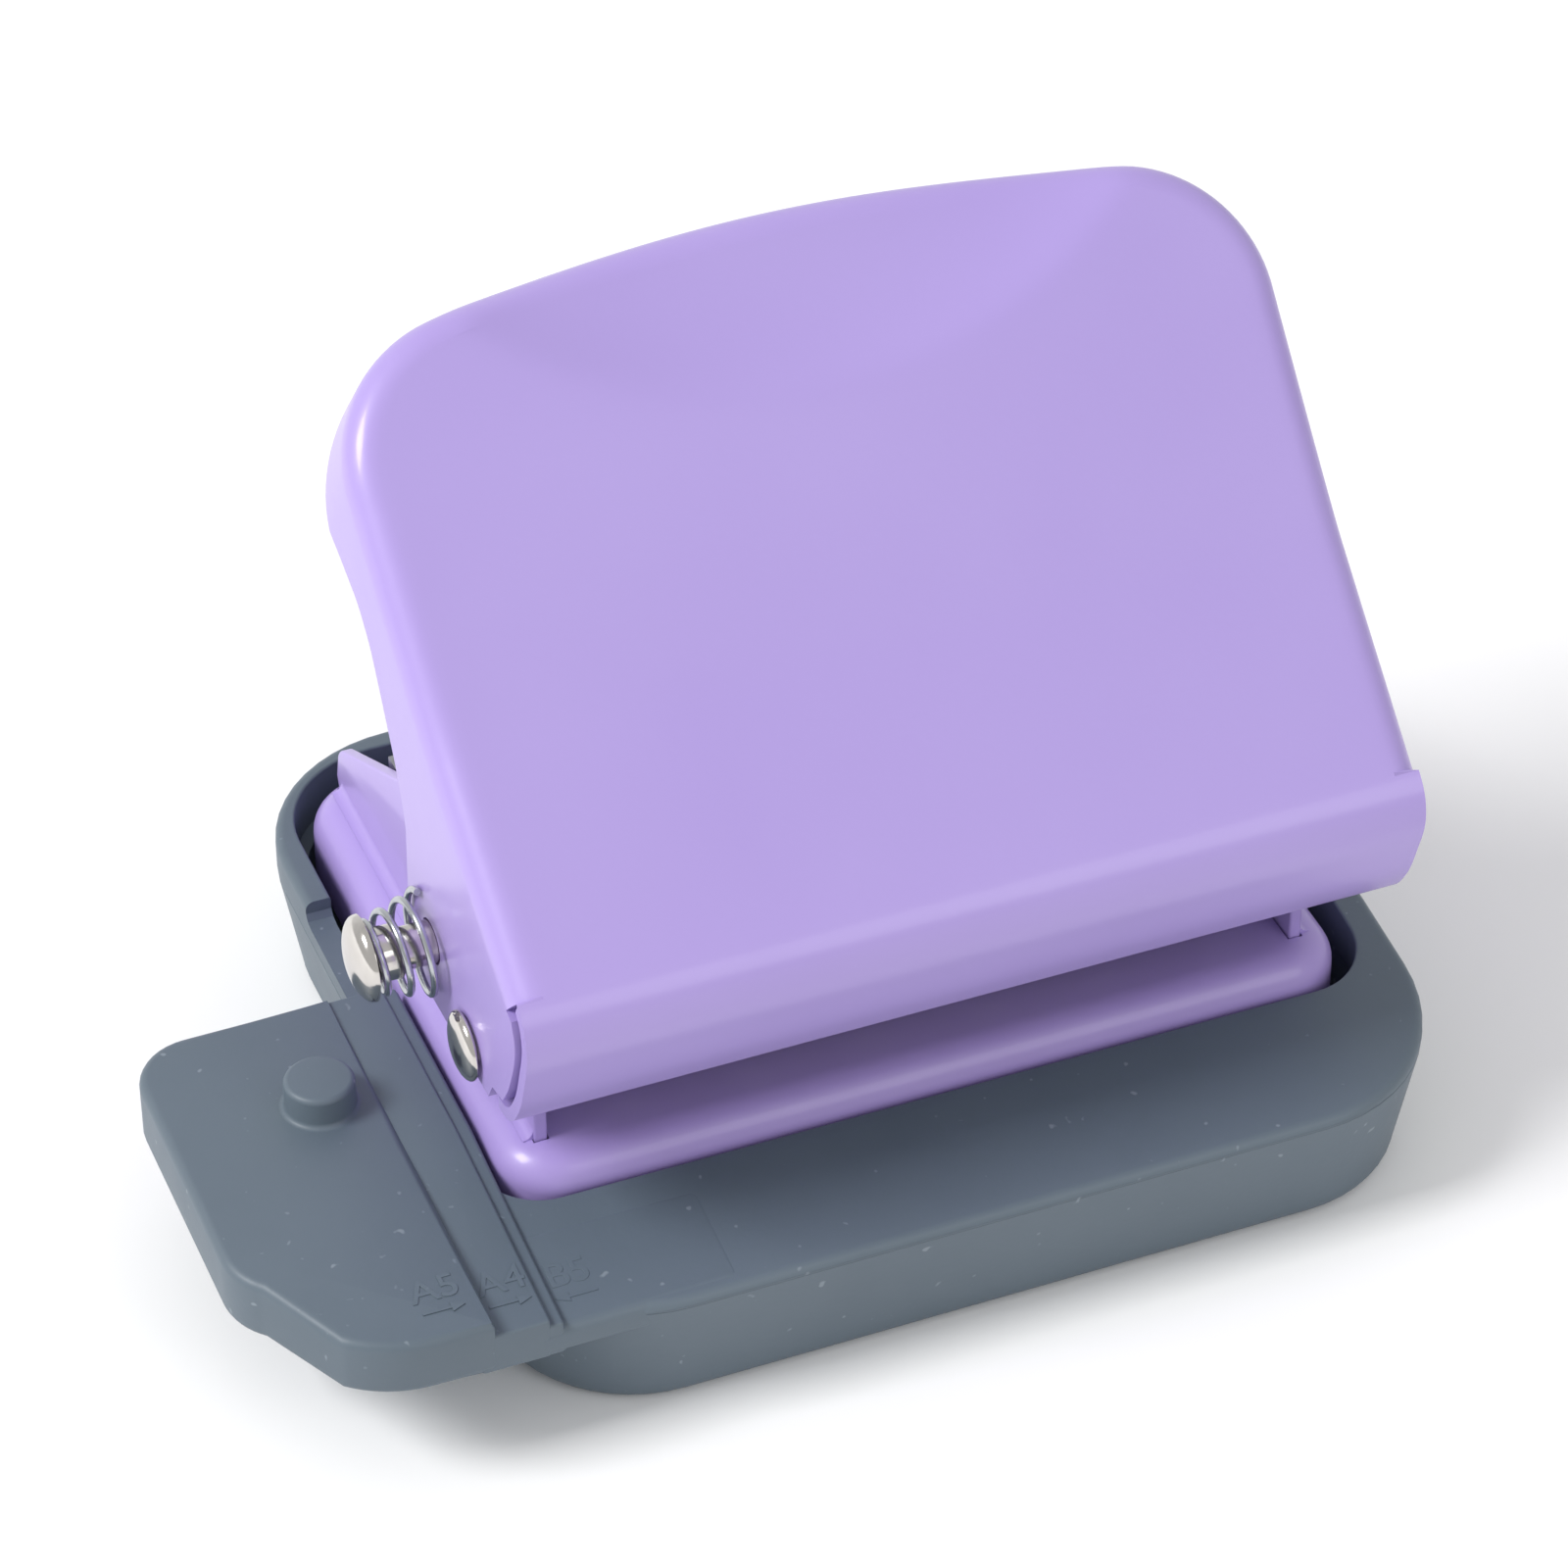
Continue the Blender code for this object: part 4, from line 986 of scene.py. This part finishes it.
def domed(radius, rim, height, steps=8):
    """Profile from a head's rim over its dome to the axis."""
    angles = [math.radians(90 * i / steps) for i in range(steps)]
    return [(radius * math.cos(a), rim + height * math.sin(a)) for a in angles] + [(0, rim + height)]


class DESKPUNCH_OT_rivets(bpy.types.Operator):
    """Turn the two shouldered hinge rivets"""
    bl_idname = "desk_punch.rivets"
    bl_label = "Hinge Rivets"

    def execute(self, context):
        head = FLAP_X + 0.25
        # tail inside the ear, neck through the ear, shoulder, neck through the flap, domed head
        profile = [(0, 28.0), (2.1, 28.0), (2.2, 28.1), (2.2, 28.95), (1.75, 28.95), (1.75, 30.25),
                   (2.4, 30.25), (2.4, 32.95), (1.75, 32.95), (1.75, head), (2.5, head), (2.6, head + 0.1)]
        profile += domed(2.6, head + 0.2, 0.85)
        for side, word in ((-1, "left"), (1, "right")):
            bm = turned([(radius, side * along) for radius, along in profile], "X", (HINGE_Y, HINGE_Z))
            rivet = new_piece(f"rivet_{word}", bm, nickel_plate())
            dress(rivet, "chassis", [f"hinge_rivet_{word}"])
        return {"FINISHED"}


class DESKPUNCH_OT_lock(bpy.types.Operator):
    """Turn the lock button"""
    bl_idname = "desk_punch.lock"
    bl_label = "Lock Button"

    def execute(self, context):
        rim = LOCK_RIM_X
        head = [(r, 2 * rim - z) for r, z in domed(3.2, rim + 0.1, 1.35, 10)][::-1]
        # head, boss inside the spring, stem through the flap, ring groove, chamfered tip
        profile = head + [(3.2, rim - 0.02), (3.1, rim), (2.0, rim), (2.0, -37.0), (1.9, -36.9),
                          (1.6, -36.9), (1.6, -33.15), (1.05, -33.15), (1.05, -32.45), (1.25, -32.45),
                          (1.25, -31.7), (0.95, -31.4), (0, -31.4)]
        button = new_piece("turned_lock_button", turned(profile, "X", (LOCK_Y, LOCK_Z)), nickel_plate())
        dress(button, "lock", ["lock_button"])
        return {"FINISHED"}


def coil_mesh(axis, centre, ends, radii, turns, wire):
    """A cone-shaped coil spring of round wire whose end turns lie nearly flat."""
    per_turn, sides = 40, 10
    count = round(turns * per_turn)
    loops = []
    for i in range(count + 1):
        part = i / count
        angle = 2 * math.pi * i / per_turn
        flat = 0.35 / turns
        eased = min(1.0, max(0.0, (part - flat) / (1 - 2 * flat)))
        along = ends[0] + (ends[1] - ends[0]) * (0.92 * eased + 0.08 * part)
        radius = radii[0] + (radii[1] - radii[0]) * part
        loop = []
        for side in range(sides):
            turn = 2 * math.pi * side / sides
            out = radius + wire * math.cos(turn)
            loop.append(place_on(axis, centre[0] + out * math.cos(angle), centre[1] + out * math.sin(angle),
                                 along + wire * math.sin(turn)))
        loops.append(loop)
    return loft(loops)


class DESKPUNCH_OT_springs(bpy.types.Operator):
    """Coil the six return springs and the lock spring"""
    bl_idname = "desk_punch.springs"
    bl_label = "Springs"

    def execute(self, context):
        for number, x in enumerate(HOLE_XS, 1):
            bm = coil_mesh("Z", (x, 0.0), RETURN_SPRING_Z, (3.95, 3.3), 3.25, sizes().wire / MM)
            spring = new_piece(f"return_spring_{number}", bm, drawn_wire())
            dress(spring, "chassis", [f"punch_spring_{number}"], 60.0)
            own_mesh(spring)
        bm = coil_mesh("X", (LOCK_Y, LOCK_Z), LOCK_SPRING_X, (2.45, 3.9), 3.2, sizes().lock_wire / MM)
        spring = new_piece("cone_lock_spring", bm, drawn_wire())
        dress(spring, "lever", ["lock_spring"], 60.0)
        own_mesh(spring)
        return {"FINISHED"}


class DESKPUNCH_OT_steelwork(bpy.types.Operator):
    """Give the inner steel parts their finishes"""
    bl_idname = "desk_punch.steelwork"
    bl_label = "Inner Steelwork"

    def execute(self, context):
        finishes = {"punch_guide": passivated_steel(), "paper_stop": passivated_steel(),
                    "press_plate": passivated_steel(), "guide_rivet_left": nickel_plate(),
                    "guide_rivet_right": nickel_plate(), "lock_ring": drawn_wire()}
        for number in range(1, 7):
            finishes[f"punch_{number}"] = nickel_plate()
            finishes[f"punch_ring_{number}"] = drawn_wire()
        for node, finish in finishes.items():
            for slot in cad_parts[node].material_slots:
                slot.material = finish
        return {"FINISHED"}


# ---------------------------------------------------------------- stage

def softbox(name, place, target, size, power):
    """A square studio light aimed at a point."""
    light = bpy.data.lights.new(name, "AREA")
    light.shape = "SQUARE"
    light.size = size
    light.energy = power
    item = bpy.data.objects.new(name, light)
    bpy.context.scene.collection.objects.link(item)
    item.location = place
    item.rotation_euler = (Vector(target) - Vector(place)).to_track_quat("-Z", "Y").to_euler()


class DESKPUNCH_OT_stage(bpy.types.Operator):
    """Lay the pale floor and set the camera and the soft studio light"""
    bl_idname = "desk_punch.stage"
    bl_label = "Stage"

    def execute(self, context):
        scene = context.scene
        scene.view_settings.view_transform = "Standard"
        made, new = new_finish("pale_studio_floor")
        if new:
            # matt seamless paper: even and pale, with no gloss
            tree = made.node_tree
            place = add_node(tree, "ShaderNodeTexCoord")
            pulp = add_node(tree, "ShaderNodeTexNoise", {"Scale": pattern_scale(40)},
                            {"Vector": (place, "Object")})
            tone = add_node(tree, "ShaderNodeMix", {"data_type": "RGBA", 6: colours().floor,
                                                    7: linear("#FCFCFC")}, {0: (pulp, 0)})
            close_finish(tree, add_node(tree, "ShaderNodeBsdfPrincipled", {"Roughness": 0.9},
                                        {"Base Color": (tone, 2)}))
        bm = bmesh.new()
        sweep = [(-2000.0, 0.0)] + arc(900.0, 400.0, 400.0, -90, 0, 12) + [(1300.0, 1800.0)]
        skin(bm, [[(x, y, z - 0.02) for y, z in sweep] for x in (-2000.0, 2000.0)], wrap=False)
        floor = new_piece("pale_floor", bm, made, outward=False)
        floor.data.shade_smooth()
        world = bpy.data.worlds.new("studio_air")
        scene.world = world
        world.use_nodes = True
        background = world.node_tree.nodes["Background"]
        background.inputs["Color"].default_value = (1.0, 1.0, 1.0, 1.0)
        background.inputs["Strength"].default_value = 0.62
        middle = (0.0, 0.0, 0.02)
        softbox("key_softbox", (-0.75, 0.05, 0.75), middle, 0.35, 8.0)
        softbox("fill_softbox", (0.5, -1.0, 0.7), middle, 0.6, 2.6)
        lens = bpy.data.cameras.new("view")
        lens.lens = 135.45
        lens.sensor_width = 36.0
        lens.clip_start = 0.01
        camera = bpy.data.objects.new("view", lens)
        scene.collection.objects.link(camera)
        camera.location = (-0.12944, -0.30302, 0.29724)
        camera.rotation_euler = (math.radians(51.0), 0.0, math.radians(-22.0))
        scene.camera = camera
        return {"FINISHED"}


# ---------------------------------------------------------------- add-on

OPERATORS = (DESKPUNCH_OT_tray, DESKPUNCH_OT_marks, DESKPUNCH_OT_pan, DESKPUNCH_OT_frame,
             DESKPUNCH_OT_handle, DESKPUNCH_OT_rivets, DESKPUNCH_OT_lock, DESKPUNCH_OT_springs,
             DESKPUNCH_OT_steelwork, DESKPUNCH_OT_stage)


class DESKPUNCH_PT_sidebar(bpy.types.Panel):
    """The punch's pieces and settings"""
    bl_idname = "DESKPUNCH_PT_sidebar"
    bl_label = "Desk Punch"
    bl_space_type = "VIEW_3D"
    bl_region_type = "UI"
    bl_category = "Desk Punch"

    def draw(self, context):
        for settings in (context.scene.desk_punch_sizes, context.scene.desk_punch_colours):
            for name in settings.__annotations__:
                self.layout.prop(settings, name)
        for operator in OPERATORS:
            self.layout.operator(operator.bl_idname)


CLASSES = (DeskPunchSizes, DeskPunchColours) + OPERATORS + (DESKPUNCH_PT_sidebar,)


def register():
    """Add the classes and the settings."""
    for made in CLASSES:
        bpy.utils.register_class(made)
    bpy.types.Scene.desk_punch_sizes = PointerProperty(type=DeskPunchSizes)
    bpy.types.Scene.desk_punch_colours = PointerProperty(type=DeskPunchColours)


def unregister():
    """Take the classes and the settings away again."""
    del bpy.types.Scene.desk_punch_colours
    del bpy.types.Scene.desk_punch_sizes
    for made in reversed(CLASSES):
        bpy.utils.unregister_class(made)


def main():
    """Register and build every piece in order."""
    register()
    for operator in OPERATORS:
        group, name = operator.bl_idname.split(".")
        getattr(getattr(bpy.ops, group), name)()


if __name__ == "__main__":
    main()
